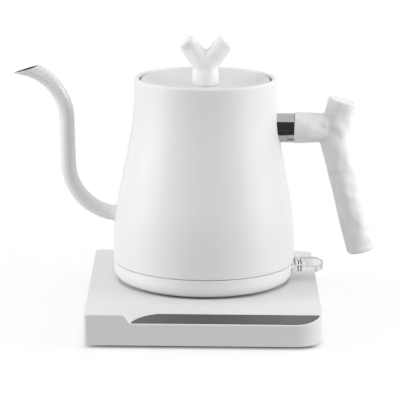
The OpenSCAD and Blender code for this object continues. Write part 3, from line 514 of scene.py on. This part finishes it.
# %% Bottom ring
COVER_R, COVER_EDGE, COVER_T = 67.5, 9.0, 2.2
SOCKET_HOLE_R, SHOULDER_DROP, TONGUE_SET, TONGUE_H = 19.6, 0.1, 1.2, 1.4
WINDOW_Z, WINDOW_PLAY = 6.7, 0.25
RECESS_R, RECESS_H, RECESS_RING, RECESS_TURNS = 2.8, 2, 52, (60, 180, 300)
floor_z = KETTLE_Z + COVER_T
edge_centre = (COVER_R - COVER_EDGE, KETTLE_Z + COVER_EDGE)
tongue_r, tongue_z = COVER_R - TONGUE_SET, SEAM_Z + TONGUE_H
ring = lathe(
    [(SOCKET_HOLE_R, floor_z), (SOCKET_HOLE_R, KETTLE_Z, 0.5)] + arc(edge_centre, COVER_EDGE, -90, 0, 16)
    + [(COVER_R, SEAM_Z - SHOULDER_DROP, 0.35), (tongue_r, SEAM_Z - SHOULDER_DROP), (tongue_r, tongue_z),
       (COVER_R - COVER_T, tongue_z)]
    + arc(edge_centre, COVER_EDGE - COVER_T, 0, -90, 10), 256)
lever_low, lever_high = (Vector(corner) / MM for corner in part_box("switch_lever"))
window = block((COVER_R - 5, lever_low.y - WINDOW_PLAY, KETTLE_Z + WINDOW_Z),
               (COVER_R + 4, lever_high.y + WINDOW_PLAY, SEAM_Z + 0.3))
recesses = [rod(RECESS_R, RECESS_H, (RECESS_RING * math.cos(a), RECESS_RING * math.sin(a), KETTLE_Z))
            for a in map(math.radians, RECESS_TURNS)]
new_piece("bottom_ring", cut_away(ring, window, *recesses), "moulded white", "kettle",
          ["bottom_cover"])

# %% [markdown]
# ## Spout
# A bent tube is easy to make as its maker does: take a ring, push it straight and swing it round a bend's
# centre. Extruding the ring's edges makes the straights, and the spin operator does the swings.

# %% Tube bender
BEND_STEPS = 36


def heading(climb):
    """The way onward for a tube that climbs to the left at an angle in degrees."""
    return Vector((-math.cos(math.radians(climb)), 0, math.sin(math.radians(climb))))


def push(bm, ring, way, times=1):
    """Extends a ring of edges along a vector in equal parts and returns the last ring."""
    for part in range(times):
        made = bmesh.ops.extrude_edge_only(bm, edges=ring)["geom"]
        bmesh.ops.translate(bm, vec=way / times, verts=only(made, BMVert))
        ring = [edge for edge in only(made, BMEdge) if edge.is_boundary]
    return ring


def swing(bm, ring, centre, angle):
    """Swings a ring of edges about a bend's centre and returns the last ring."""
    made = bmesh.ops.spin(bm, geom=ring, cent=centre, axis=(0, 1, 0), angle=math.radians(angle), steps=BEND_STEPS)
    return only(made["geom_last"], BMEdge)


print("tube bender is ready")

# %% [markdown]
# The spout leaves the body level, bends up until it is nearly upright, and bends over to a tip that points a
# little upwards. One bisect cuts the tip on a slant, and the faces above the cut are deleted.

# %% Spout
SPOUT_R, BEND_R, ROOT_L = 5.0, 40.0, 2
ROOT_BEND, RISER, TIP_BEND, TIP_L, TIP_CUT, TIP_X = 88.2, 33.8, 81.6, 3.2, 17.0, -110
spout = bmesh.new()
start = Matrix.Translation(spout_foot + Vector((ROOT_L, 0, 0))) @ Matrix.Rotation(math.pi / 2, 4, "Y")
bmesh.ops.create_circle(spout, segments=48, radius=SPOUT_R, matrix=start)
ring = push(spout, spout.edges[:], heading(0) * ROOT_L)
root_centre = spout_foot + Vector((0, 0, BEND_R))
ring = swing(spout, ring, root_centre, ROOT_BEND)
ring = push(spout, ring, heading(ROOT_BEND) * RISER, 6)
riser_top = root_centre + BEND_R * heading(ROOT_BEND - 90) + heading(ROOT_BEND) * RISER
ring = swing(spout, ring, riser_top + BEND_R * heading(ROOT_BEND - 90), -TIP_BEND)
climb = ROOT_BEND - TIP_BEND
ring = push(spout, ring, heading(climb) * (TIP_L + SPOUT_R), 3)
end = sum((vert.co for edge in ring for vert in edge.verts), Vector()) / (2 * len(ring))
lip = end - heading(climb) * SPOUT_R + heading(climb - 90) * SPOUT_R
cut_normal = Matrix.Rotation(math.radians(-TIP_CUT), 3, "Y") @ Vector((0, 0, 1))
tip_faces = [face for face in spout.faces if face.calc_center_median().x < TIP_X]
near_tip = {part for face in tip_faces for part in [face, *face.edges, *face.verts]}
bmesh.ops.bisect_plane(spout, geom=list(near_tip), dist=1e-5, plane_co=lip, plane_no=cut_normal)
above_cut = [face for face in spout.faces if face.calc_center_median().x < TIP_X
             and (face.calc_center_median() - lip).dot(cut_normal) > 1e-4]
bmesh.ops.delete(spout, geom=above_cut, context="FACES")
bmesh.ops.recalc_face_normals(spout, faces=spout.faces)
print("spout: lip at", [round(c, 1) for c in lip])

# %% [markdown]
# The tube is welded to the body, so its root swells a little into the weld. Its wall comes last: the open tube
# is given a thickness inwards. The modifier numbers the inner wall's faces first, so they can be told apart by
# number and get a near-black finish, which is painted shade in the bore.

# %% Weld and wall
SPOUT_WALL = 0.7
WELD_X, WELD_TOP, WELD_L, WELD_SWELL, WELD_H = -66.6, 90, 2.2, 0.9, 49.3
for vert in spout.verts:
    gap = WELD_X - vert.co.x
    if vert.co.z < WELD_TOP and gap < WELD_L:
        swell = WELD_SWELL * max(0.0, 1 - max(gap, 0) / WELD_L) ** 2
        centre = Vector((vert.co.x, 0, KETTLE_Z + WELD_H))
        vert.co += (vert.co - centre).normalized() * swell
inner_count = len(spout.faces)
spout = modified(spout, "SOLIDIFY", thickness=SPOUT_WALL, offset=-1.0, use_even_offset=True)
# The bore's faces wear painted shade.
new_piece("spout_pipe", spout, "spout enamel", "kettle", ["spout_tube"], sharp=45,
          lining=("dark bore", lambda face: face.index < inner_count))

# %% [markdown]
# ## Branches
# The handle and the knob look like cut branches: round limbs that flow into each other at a fork, with flat,
# softly rounded ends and gentle swellings along them. Each limb is a disc that is pushed on, turned and scaled
# step by step.

# %% Limb maker
def upward(lean):
    """The way up that leans from +Z towards +X by an angle in degrees."""
    return Vector((math.sin(math.radians(lean)), 0, math.cos(math.radians(lean))))


def chained(points):
    """Limb steps from one point of a rounded edge, as (distance along, radius), to the next."""
    return [(after[0] - before[0], 0, after[1]) for before, after in zip(points, points[1:])]


def limb(bm, foot, tilt, steps, first_r, rounding):
    """A round limb that starts at a foot, tilted in degrees from +Z towards +X.

    Each step is (distance, turn in degrees, radius after it). Both ends are flat, and rounding gives the radius
    of the edge of the first and of the last.
    """
    quarter = [math.radians(a) for a in (0, 23, 45, 68, 90)]
    start_round, end_round = rounding
    end_r = steps[-1][2]
    start_edge = [(start_round * (1 - math.cos(a)), first_r - start_round * (1 - math.sin(a))) for a in quarter]
    end_edge = [(end_round * math.sin(a), end_r - end_round * (1 - math.cos(a))) for a in quarter]
    path = (chained(start_edge) + [(steps[0][0] - start_round, *steps[0][1:])] + steps[1:-1]
            + [(steps[-1][0] - end_round, *steps[-1][1:])] + chained(end_edge))
    centre, radius = Vector(foot), start_edge[0][1]
    place = Matrix.Translation(centre) @ Matrix.Rotation(math.radians(tilt), 4, "Y")
    rim = bmesh.ops.create_circle(bm, cap_ends=True, segments=56, radius=radius, matrix=place)["verts"]
    disc = rim[0].link_faces[0]
    for distance, turn, new_radius in path:
        disc = only(bmesh.ops.extrude_face_region(bm, geom=[disc])["geom"], BMFace)[0]
        onward = upward(tilt) * distance
        centre = centre + onward
        tilt += turn
        bmesh.ops.translate(bm, vec=onward, verts=disc.verts)
        bmesh.ops.rotate(bm, cent=centre, matrix=Matrix.Rotation(math.radians(turn), 3, "Y"), verts=disc.verts)
        bmesh.ops.scale(bm, vec=Vector((1, 1, 1)) * new_radius / radius, space=Matrix.Translation(-centre),
                        verts=disc.verts)
        radius = new_radius
    return centre


print("limb maker is ready")

# %% [markdown]
# A voxel remesh then fuses the limbs into one skin. Smoothing near the fork fills its hollows, in a circle that
# shrinks with each round, and a little noise along the normals gives the unevenness of wood.

# %% Grown skin
def grown(bm, voxel, fork, reach, soften, swell, wave, notch=None):
    """Fuses the limbs into one skin, fills the hollows within `reach` of the fork, and lets the skin swell."""
    bmesh.ops.recalc_face_normals(bm, faces=bm.faces)
    bm = modified(bm, "REMESH", mode="VOXEL", voxel_size=voxel)
    if notch:
        bm = modified(cut_away(bm, notch), "REMESH", mode="VOXEL", voxel_size=voxel)
    for turn in range(soften):
        near = reach * (1 - 0.5 * turn / soften)
        chosen = [vert for vert in bm.verts if turn < 3 or (vert.co - fork).length < near]
        bmesh.ops.smooth_vert(bm, verts=chosen, factor=0.5, use_axis_x=True, use_axis_y=True, use_axis_z=True)
    bm.normal_update()
    for vert in bm.verts:
        vert.co += vert.normal * swell * noise.noise(vert.co / wave)
    return bm


print("skins can grow")

# %% [markdown]
# ## Handle
# The short stub and the long grip are one limb with a bend, and the arm joins it from the left. The grip is
# slimmest halfway down.

# %% Handle
FORK, ARM_FOOT = Vector((95.8, 0, 135.4)), Vector((66.5, 0, 141.6))
STUB_LEAN, STUB_L, GRIP_LEAN, BEND_REACH, BEND_TURNS = 13.5, 28.0, 14.8, 8.0, 6
bend_r = BEND_REACH / math.tan(math.radians((STUB_LEAN + GRIP_LEAN) / 2))
bend_turn = -(STUB_LEAN + GRIP_LEAN) / BEND_TURNS
bend_step = 2 * bend_r * math.sin(math.radians(-bend_turn / 2))
handle = bmesh.new()
limb(handle, ARM_FOOT, 90, [(6, 0, 11.6), (10, 0, 11.0), (8, 0, 10.6), (7, 0, 9.0)], 11.7, (0.8, 4))
foot = limb(handle, FORK + STUB_L * upward(STUB_LEAN), 180 + STUB_LEAN,
            [(10, 0, 10.4), (STUB_L - BEND_REACH - 10, bend_turn / 2, 10.6)]
            + [(bend_step, bend_turn, 10.75)] * (BEND_TURNS - 1)
            + [(bend_step, bend_turn / 2, 10.75), (14, 0, 10.45), (24, 0, 10.4), (18, 0, 10.7), (27.2, 0, 10.6)],
            10.45, (1.0, 2.6))
print("grip ends at", [round(c, 1) for c in foot])
handle = grown(handle, voxel=0.6, fork=FORK + Vector((-2, 0, 4)), reach=22, soften=26, swell=0.45, wave=16)
new_piece("branch_handle", handle, "branch white", "kettle", ["handle_grip"], sharp=60)

# %% [markdown]
# ## Lid knob
# The knob is the same idea, smaller. Its stem is shared: each of the two limbs starts at the lid, goes straight
# up and bends to its own side, so the front of the stem flows into both branches. A rounded notch opens the
# crotch between them.

# %% Knob
DISH_Z = 173.2
BRANCH_LEAN, BRANCH_TURNS = 39, 6
CROTCH_R, CROTCH_X, CROTCH_Z, CROTCH_TURN, CROTCH_H, CROTCH_HALF = 2.6, 0.3, 199.2, 37, 15, 20
knob = bmesh.new()
for side in (-1, 1):
    bend = [(1.9, side * BRANCH_LEAN / BRANCH_TURNS, 9.6 - 0.25 * i) for i in range(BRANCH_TURNS)]
    arm = [(5, 0, 8.0), (7.0, 0, 7.3), (7.1, 0, 6.8)]
    limb(knob, Vector((0, 0, DISH_Z)), 0, [(3, 0, 9.9), (5, 0, 9.8)] + bend + arm, 9.6, (0.5, 3.0))
crotch = arc((CROTCH_X, CROTCH_Z + CROTCH_R), CROTCH_R, -180 + CROTCH_TURN, -CROTCH_TURN, 12)
flare = CROTCH_H * math.tan(math.radians(CROTCH_TURN))
crotch += [(crotch[-1][0] + flare, crotch[-1][1] + CROTCH_H), (crotch[0][0] - flare, crotch[0][1] + CROTCH_H)]
notch = bmesh.new()
notch.faces.new([notch.verts.new((x, -CROTCH_HALF, z)) for x, z in crotch])
knob = grown(knob, voxel=0.4, fork=Vector((0, 0, 194)), reach=12, soften=16, swell=0.2, wave=9,
             notch=thickened(notch, (0, 2 * CROTCH_HALF, 0)))
new_piece("branch_knob", knob, "branch white", "lid", ["lid_knob"], sharp=60)

# %% [markdown]
# ## Lid
# The lid is a thin pressed disc with a bright rounded edge, a shallow slope and a flat middle that the knob
# stands on. It has a hole in the middle for the knob's screw and a small steam hole behind the knob.

# %% Lid
LID_R, LID_TOP, LEDGE_Z, LID_T = 48.2, 177.8, 173.5, 0.8
DISH_R, SCREW_HOLE_R, STEAM_HOLE_R, STEAM_HOLE_Y = 33, 2.1, 1.5, 13.8
lid = lathe([
    (SCREW_HOLE_R, DISH_Z), (DISH_R, DISH_Z + 0.15, 6), (40.5, DISH_Z + 1.5, 5), (44.2, LID_TOP - 0.9, 1.2),
    (45.8, LID_TOP, 0.8), (LID_R, LID_TOP, 1.0), (LID_R, LEDGE_Z), (LID_R - LID_T, LEDGE_Z),
    (LID_R - LID_T, LID_TOP - 1.6), (44, LID_TOP - 2), (40, DISH_Z + 0.5), (DISH_R, DISH_Z - LID_T),
    (SCREW_HOLE_R, DISH_Z - LID_T)], 220)
lid = cut_away(lid, rod(STEAM_HOLE_R, 6, (0, STEAM_HOLE_Y, DISH_Z)))
new_piece("lid_plate", lid, "lid enamel", "lid", ["lid_disc"], sharp=50)

# %% [markdown]
# ## Ferrule
# A polished tube joins the handle to the body. Its inner end follows the curve of the body's side, so the tube
# is spun about its own axis, laid along X, and cut with a solid of the body's form. A small hole underneath
# takes the grub screw that holds the grip.

# %% Ferrule
FERRULE_R, FERRULE_T, FERRULE_START, FERRULE_END, ARM_Z = 11.0, 1.0, 45, 66.5, 141.2
FORM_LOW, FORM_HIGH = 100, 172
GRUB_R, GRUB_X = 2.1, 62
ferrule = lathe([(FERRULE_R, FERRULE_START), (FERRULE_R, FERRULE_END, 0.25), (FERRULE_R - FERRULE_T, FERRULE_END),
                 (FERRULE_R - FERRULE_T, FERRULE_START)], 120)
bmesh.ops.rotate(ferrule, cent=(0, 0, 0), matrix=Matrix.Rotation(math.pi / 2, 3, "Y"), verts=ferrule.verts)
bmesh.ops.translate(ferrule, vec=(0, 0, ARM_Z), verts=ferrule.verts)
form_side = [point for point in body_side(0.1, 60) if FORM_LOW < point[1] < FORM_HIGH]
inner_form = lathe([(0, FORM_LOW)] + form_side + [(0, FORM_HIGH)], 180)
ferrule = cut_away(ferrule, inner_form, rod(GRUB_R, 6, (GRUB_X, 0, ARM_Z - FERRULE_R)))
new_piece("ferrule_tube", ferrule, "polished steel", "kettle", ["handle_ferrule"], sharp=40)

# %% [markdown]
# ## Base outline
# The base is a low moulded box whose four plan corners have radii of their own: nearly square on the left, broad
# at the front right. A vertex bevel on a flat face rounds each corner by its own radius, and an extrusion makes
# the face a slab. The same slab, drawn in by the wall, is the cutter for the hollow underneath.

# %% Outline of the base
BASE_LOW, BASE_HIGH = (Vector(corner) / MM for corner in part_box("base_top_cover"))
CORNER_R = (3, 20, 6, 4)


def raised(bm, low, high):
    """Lifts flat faces from the floor to one height and thickens them up to another."""
    bmesh.ops.translate(bm, vec=(0, 0, low), verts=bm.verts)
    return thickened(bm, (0, 0, high - low))


def slab(inset, low, high):
    """The base's outline, drawn in by an inset, between two heights."""
    bm = bmesh.new()
    left, right, front, back = BASE_LOW.x + inset, BASE_HIGH.x - inset, BASE_LOW.y + inset, BASE_HIGH.y - inset
    corners = [bm.verts.new((x, y, 0)) for x, y in ((left, front), (right, front), (right, back), (left, back))]
    bm.faces.new(corners)
    for corner, radius in zip(corners, CORNER_R):
        rounded(bm, corner, radius - inset, 18)
    return raised(bm, low, high)


base = slab(0, BASE_LOW.z, BASE_HIGH.z)
print("base block:", len(base.faces), "faces")

# %% [markdown]
# ## Front slope
# The front of the top falls away in a soft slope that carries the strip, and the slope fades into the flat top at
# its left end. One small function says how far the top falls at a place.

# %% How far the top falls
SLOPE_RUN, SLOPE_DROP, SLOPE_SOFT = 29.0, 6.7, 1.2
END_X, END_TURN, END_W, END_FADE = -57.6, 14.0, 5.8, 11.0
slope = SLOPE_DROP / SLOPE_RUN
slope_y = BASE_LOW.y + SLOPE_RUN


def top_fall(x, y):
    """How far the top of the base lies below its flat part at a place."""
    ahead = slope_y - y
    fall = slope * (0 if ahead < -SLOPE_SOFT else ahead if ahead > SLOPE_SOFT
                    else (ahead + SLOPE_SOFT)**2 / (4 * SLOPE_SOFT))
    back = (y - BASE_LOW.y) / SLOPE_RUN
    share = min(max((x - END_X - END_TURN * back**2) / (END_W + END_FADE * back), 0), 1)
    return fall * share**2 * (3 - 2 * share)


print("the strip's slope is", round(math.degrees(math.atan(slope)), 1), "degrees")

# %% [markdown]
# The top is still one large face, so a grid of cuts in its front part gives it vertices to lower. The cuts from
# left to right go first, and those from front to back cross the narrow faces that these leave. The rim is eased
# last, once the slope is in.

# %% Slope
CUT_PITCH, CUT_MARGIN, ROWS, COLUMNS = 1.5, 4, 22, 27


def cut_lines(bm, along, places, wanted):
    """Cuts the wanted faces with planes at places along an axis."""
    for place in places:
        faces = [face for face in bm.faces if wanted(face)]
        geom = {part for face in faces for part in [face, *face.edges, *face.verts]}
        bmesh.ops.bisect_plane(bm, geom=list(geom), dist=1e-4, plane_co=along * place, plane_no=along)


def front_of_top(face):
    """Whether a face lies in the front part of the top."""
    return face.normal.z > 0.9 and face.calc_center_median().y < slope_y + CUT_MARGIN


def front_or_whole_top(face):
    """The same, or the whole top, whose round corners give it many vertices."""
    return front_of_top(face) or face.normal.z > 0.9 and len(face.verts) > 40


rows = [slope_y + CUT_MARGIN - CUT_PITCH * i for i in range(ROWS)]
columns = [END_X - 3 + CUT_PITCH * i for i in range(COLUMNS)]
cut_lines(base, Vector((0, 1, 0)), rows, front_or_whole_top)
cut_lines(base, Vector((1, 0, 0)), columns, front_of_top)
for vert in base.verts:
    if vert.co.z > BASE_HIGH.z - 0.01:
        vert.co.z -= top_fall(vert.co.x, vert.co.y)
base.normal_update()
rim = [edge for edge in base.edges if len(edge.link_faces) == 2
       and min(abs(face.normal.z) for face in edge.link_faces) < 0.2
       and max(face.normal.z for face in edge.link_faces) > 0.4]
eased(base, rim, 0.6)
print("base top:", len(rim), "rim edges eased,", len(base.faces), "faces")

# %% [markdown]
# ## Strip
# The glossy strip is bare. Its left end sweeps up in a long curve, its right end follows the base's round corner,
# and it stands barely proud of a recess of the same form. Both are made by one function: the outline is extruded
# flat and then sheared down the slope.

# %% Strip
STRIP_LEFT, STRIP_SWEEP, STRIP_REACH, STRIP_MARGIN, SWEEP_POWER = -51.6, 20.0, 15.2, 1.2, 1.25
STRIP_DEPTH, STRIP_PROUD = 0.9, 0.25


def strip_form(gap, low, high):
    """The strip's form, grown by a gap, between two heights above the slope."""
    left, front, back = STRIP_LEFT - gap, BASE_LOW.y + STRIP_MARGIN - gap, BASE_LOW.y + STRIP_REACH + gap
    turns = [math.radians(6 * i) for i in range(16)]
    swept = [(left + STRIP_SWEEP * (1 - abs(math.cos(a))**SWEEP_POWER),
              front + (back - front) * math.sin(a)**SWEEP_POWER) for a in turns]
    corner, radius = (BASE_HIGH.x - CORNER_R[1], BASE_LOW.y + CORNER_R[1]), CORNER_R[1] - STRIP_MARGIN + gap
    start = math.degrees(math.asin((back - corner[1]) / radius))
    bm = bmesh.new()
    bm.faces.new([bm.verts.new((x, y, 0)) for x, y in swept + arc(corner, radius, start, -90, 18)])
    raised(bm, low, high)
    for vert in bm.verts:
        vert.co.z += BASE_HIGH.z - slope * (slope_y - vert.co.y)
    return bm


strip = strip_form(0, -STRIP_DEPTH, STRIP_PROUD)
upper = [edge for edge in strip.edges if max(face.normal.z for face in edge.link_faces) > 0.9
         and min(abs(face.normal.z) for face in edge.link_faces) < 0.2]
eased(strip, upper, 0.35)
new_piece("gloss_strip", strip, "strip black", "power_base", ["front_trim_strip"], even=True)

# %% [markdown]
# The cuts in the base come last: the kettle's shallow round seat, the hole for the connector, the cord gland's
# hole in the back wall, the strip's recess, and the hollow underneath in two heights.

# %% Cuts in the base
SEAT_R, SEAT_Z, SOCKET_R, GLAND_R, GLAND_Z = 65.0, 24.2, 18.0, 6.1, 13.65
HOLLOW_Z, HOLLOW_STEP_Z, HOLLOW_X, HOLLOW_BACK, BASE_WALL = 22.0, 15, 81, 84, 2.2
base = cut_away(
    base,
    rod(SEAT_R, 4, (0, 0, SEAT_Z + 2), sides=180),
    rod(SOCKET_R, 12, (0, 0, HOLLOW_Z), sides=96),
    rod(GLAND_R, 12, (0, BASE_HIGH.y, GLAND_Z), "Y"),
    strip_form(0.15, -STRIP_DEPTH - 0.05, 3),
    slab(BASE_WALL, BASE_LOW.z - 1, HOLLOW_STEP_Z),
    block((-HOLLOW_X, slope_y + 1.5, HOLLOW_STEP_Z - 1), (HOLLOW_X, HOLLOW_BACK, HOLLOW_Z)))
new_piece("base_cover", base, "base white", "power_base", ["base_top_cover"], sharp=30, even=True)

# %% [markdown]
# ## Switch lever
# The clear lever is a paddle with a rounded end. Its form comes from the frame. Its triangles are merged into
# flat faces first, and then the outer edges of the paddle are eased.

# %% Lever blank
lever = bmesh.new()
lever.from_mesh(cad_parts["switch_lever"].data)
bmesh.ops.scale(lever, vec=Vector((1, 1, 1)) / MM, verts=lever.verts)
bmesh.ops.remove_doubles(lever, verts=lever.verts, dist=1e-3)
bmesh.ops.dissolve_limit(lever, angle_limit=math.radians(0.4), verts=lever.verts, edges=lever.edges)
crisp = [edge for edge in lever.edges if edge.is_manifold and edge.calc_face_angle_signed(0) > math.radians(25)
         and min(vert.co.x for vert in edge.verts) > COVER_R + 1]
eased(lever, crisp, 0.5)
print("eased", len(crisp), "edges of the lever")

# %% [markdown]
# The frame's raised ribs are cut level with the paddle. Grooves across the root and nicks in the side take their
# place as the finger's grip; their faces get a dark grey finish of painted shade, darker than the clear plastic.

# %% Grooves of the lever
GROOVES, GROOVE_W, GROOVE_HALF, GROOVE_DEPTH = (68.9, 71.4, 73.6, 76.2), 0.8, 8, 0.9
SIDE_NICKS, NICK_DEPTH, NICK_FOOT = (68.4, 70.9, 73.1), 1.2, 33
RIBS_START, RIBS_END, RIBS_HALF, CLEAR = 68.2, 82, 13, 3
paddle_top = max(vert.co.z for vert in lever.verts if vert.co.x > RIBS_END)
over = paddle_top + CLEAR
cutters = [block((RIBS_START, -RIBS_HALF, paddle_top), (RIBS_END, RIBS_HALF, over))]
cutters += [block((x - GROOVE_W / 2, -GROOVE_HALF, paddle_top - GROOVE_DEPTH),
                  (x + GROOVE_W / 2, GROOVE_HALF, over)) for x in GROOVES]
cutters += [block((x - GROOVE_W / 2, lever_low.y - 1, NICK_FOOT),
                  (x + GROOVE_W / 2, lever_low.y + NICK_DEPTH, over)) for x in SIDE_NICKS]
lever = cut_away(lever, *cutters)


def in_groove(face):
    """Whether a face is the floor or a wall of one of the grooves or nicks."""
    middle = face.calc_center_median()

    def within(places):
        return any(abs(middle.x - x) < GROOVE_W / 2 + 0.01 for x in places)

    sunk = paddle_top - GROOVE_DEPTH - 0.1 < middle.z < paddle_top - 0.2 and abs(middle.y) < GROOVE_HALF + 0.1
    return sunk and within(GROOVES) or middle.y < lever_low.y + NICK_DEPTH + 0.1 and within(SIDE_NICKS)


# The grooves' and nicks' faces wear painted shade.
new_piece("clear_lever", lever, "clear plastic", "switch_lever", ["switch_lever"], even=True,
          lining=("smoky groove", in_groove))

# %% [markdown]
# ## Stage sheets
# The floor and the flags are flat sheets of the studio and not of the kettle. Their materials start from an
# empty tree, because a glow and a mix by the kind of ray need no Principled shader.

# %% Stage sheets
def stage_material(name):
    """A material with an empty tree, and a wire to fill it with."""
    material = bpy.data.materials.new(name)
    material.use_nodes = True
    material.node_tree.nodes.clear()
    return material, Wire(material.node_tree)


def stage_sheet(name, place, size, material, turn=0.0):
    """A flat stage sheet, turned about X in degrees."""
    bm = bmesh.new()
    bmesh.ops.create_grid(bm, x_segments=1, y_segments=1, size=0.5)
    bmesh.ops.scale(bm, vec=(*size, 1), verts=bm.verts)
    bmesh.ops.rotate(bm, cent=(0, 0, 0), matrix=Matrix.Rotation(math.radians(turn), 3, "X"), verts=bm.verts)
    bmesh.ops.translate(bm, vec=place, verts=bm.verts)
    sheet = placed(name, meshed(name, bm))
    sheet.data.materials.append(material)
    return sheet


def seen_directly(wires):
    """1 for camera, glossy and transmission rays."""
    path = wires.node("ShaderNodeLightPath").socket.node
    camera_ray, glossy_ray, clear_ray = (Wire(wires.tree, path.outputs[f"Is {kind} Ray"])
                                         for kind in ("Camera", "Glossy", "Transmission"))
    return wires.maths("MAXIMUM", camera_ray, wires.maths("MAXIMUM", glossy_ray, clear_ray))


print("stage sheets are ready")

# %% [markdown]
# ## Floor
# The paper floor is a plain diffuse grey for the light that bounces off it. To the camera and to reflections it
# is mixed with a white glow. The glow's share is nothing under the base, grows quickly past the base's outline
# and is full a quarter of a metre away, so the background is white and the floor still keeps the shadow.

# %% Floor
FLOOR_SIZE, FLOOR_GREY = 12.0, 0.50
GLOW_START, GLOW_END = -0.008, 0.242
GLOW_STOPS = ((0, 0.0), (0.032, 0.55), (0.2, 0.84), (1, 1.0))
WHITE = (1, 1, 1, 1)
paper, wires = stage_material("floor paper")
place = wires.node("ShaderNodeTexCoord", out="Object")
split = wires.node("ShaderNodeSeparateXYZ", {}, {"Vector": place}).socket.node
base_middle, base_half = (BASE_HIGH + BASE_LOW) * MM / 2, (BASE_HIGH - BASE_LOW) * MM / 2
beyond = [wires.maths("ABSOLUTE", Wire(wires.tree, split.outputs[axis]) - base_middle[axis]) - base_half[axis]
          for axis in (0, 1)]
away = wires.node("ShaderNodeMapRange", {},
                  {"Value": wires.maths("MAXIMUM", *beyond), "From Min": GLOW_START, "From Max": GLOW_END})
glow_share = wires.node("ShaderNodeValToRGB", {"stops": GLOW_STOPS}, {"Fac": away})
plain = wires.node("ShaderNodeBsdfDiffuse", {}, {"Color": (FLOOR_GREY, FLOOR_GREY, FLOOR_GREY, 1)})
bright = wires.node("ShaderNodeBsdfDiffuse", {}, {"Color": WHITE})
glow = wires.node("ShaderNodeEmission", {}, {"Color": WHITE, "Strength": 1.0})
looked_at = wires.node("ShaderNodeMixShader", {}, {0: glow_share, 1: bright, 2: glow})
whole = wires.node("ShaderNodeMixShader", {}, {0: seen_directly(wires), 1: plain, 2: looked_at})
wires.node("ShaderNodeOutputMaterial", {}, {"Surface": whole}, out=None)
stage_sheet("floor", (0, 0, 0), (FLOOR_SIZE, FLOOR_SIZE), paper)
print("floor is in place")

# %% [markdown]
# ## World and flags
# The world is white to the camera and to reflections, and a soft fill for everything else. Photographers
# darken the front of polished metal with black flags: here two dark sheets, one upright in front and one flat on
# the floor, are seen only in reflections and through clear plastic.

# %% World and flags
AMBIENT, FELT_GLOW = 0.38, 0.06
world = bpy.data.worlds.new("studio")
bpy.context.scene.world = world
world.use_nodes = True
backdrop = world.node_tree.nodes["Background"]
backdrop.inputs["Color"].default_value = WHITE
wires = Wire(world.node_tree)
feed(wires, backdrop, "Strength", AMBIENT + seen_directly(wires) * (1 - AMBIENT))

felt, wires = stage_material("flag felt")
dim = wires.node("ShaderNodeEmission", {}, {"Color": WHITE, "Strength": FELT_GLOW})
wires.node("ShaderNodeOutputMaterial", {}, {"Surface": dim}, out=None)
for name, place, size, turn in (("front flag", (0.44, -0.62, 0.53), (0.92, 1.05), 90),
                                ("floor flag", (0, -0.37, 0.0015), (0.9, 0.49), 0)):
    flag = stage_sheet(name, place, size, felt, turn)
    flag.visible_camera = flag.visible_diffuse = flag.visible_shadow = False
print("world and flags are in place")

# %% [markdown]
# ## Lamps
# Two upright softboxes stand left and right and give the body its bright sides. Three weaker ones behind on the
# right, above the camera and overhead throw the soft shadow and fill the front and the top. Those three stay
# out of reflections, so that the ferrule keeps its clean bands.

# %% Lamps
AIM = Vector((0, 0, 0.1))


def softbox(name, place, size, watts, reflected=True):
    """A rectangular lamp that faces the middle of the kettle."""
    lamp = bpy.data.lights.new(name, "AREA")
    lamp.shape = "RECTANGLE"
    lamp.size, lamp.size_y = size
    lamp.energy = watts
    lamp_object = placed(name, lamp)
    lamp_object.location = place
    lamp_object.rotation_euler = (AIM - Vector(place)).to_track_quat("-Z", "Y").to_euler()
    lamp_object.visible_camera = False
    lamp_object.visible_glossy = reflected
    print(name, watts, "W")


softbox("left softbox", (-1.35, -0.2, 0.45), (0.9, 1.0), 12.7)
softbox("right softbox", (1.3, -0.3, 0.45), (0.9, 1.0), 10.9)
softbox("back softbox", (1.1, 0.75, 0.5), (0.5, 0.5), 4, reflected=False)
softbox("front softbox", (0, -1.0, 1.3), (0.9, 0.9), 4, reflected=False)
softbox("top softbox", (0, 0.2, 1.6), (1.2, 1.2), 4, reflected=False)

# %% [markdown]
# ## Camera
# The view is a long lens from 1.7 m, looking a little down on the front of the base, with a slight roll. The
# lens is worked out from its focal length in pixels of a 400 pixel frame.

# %% Camera
SENSOR, FOCAL_PIXELS, FRAME_PIXELS = 36, 2300, 400
VIEW_DOWN, VIEW_ROLL = 12.37, 0.52
camera = bpy.data.cameras.new("camera")
camera.sensor_width = SENSOR
camera.lens = SENSOR * FOCAL_PIXELS / FRAME_PIXELS
eye = placed("camera", camera)
eye.location = (-0.0032, -1.6906, 0.4561)
pitch = Matrix.Rotation(math.radians(90 - VIEW_DOWN), 3, "X")
eye.rotation_euler = (pitch @ Matrix.Rotation(math.radians(VIEW_ROLL), 3, "Z")).to_euler()
bpy.context.scene.camera = eye
bpy.context.scene.view_settings.view_transform = "Standard"
print("camera at", [round(c, 3) for c in eye.location])
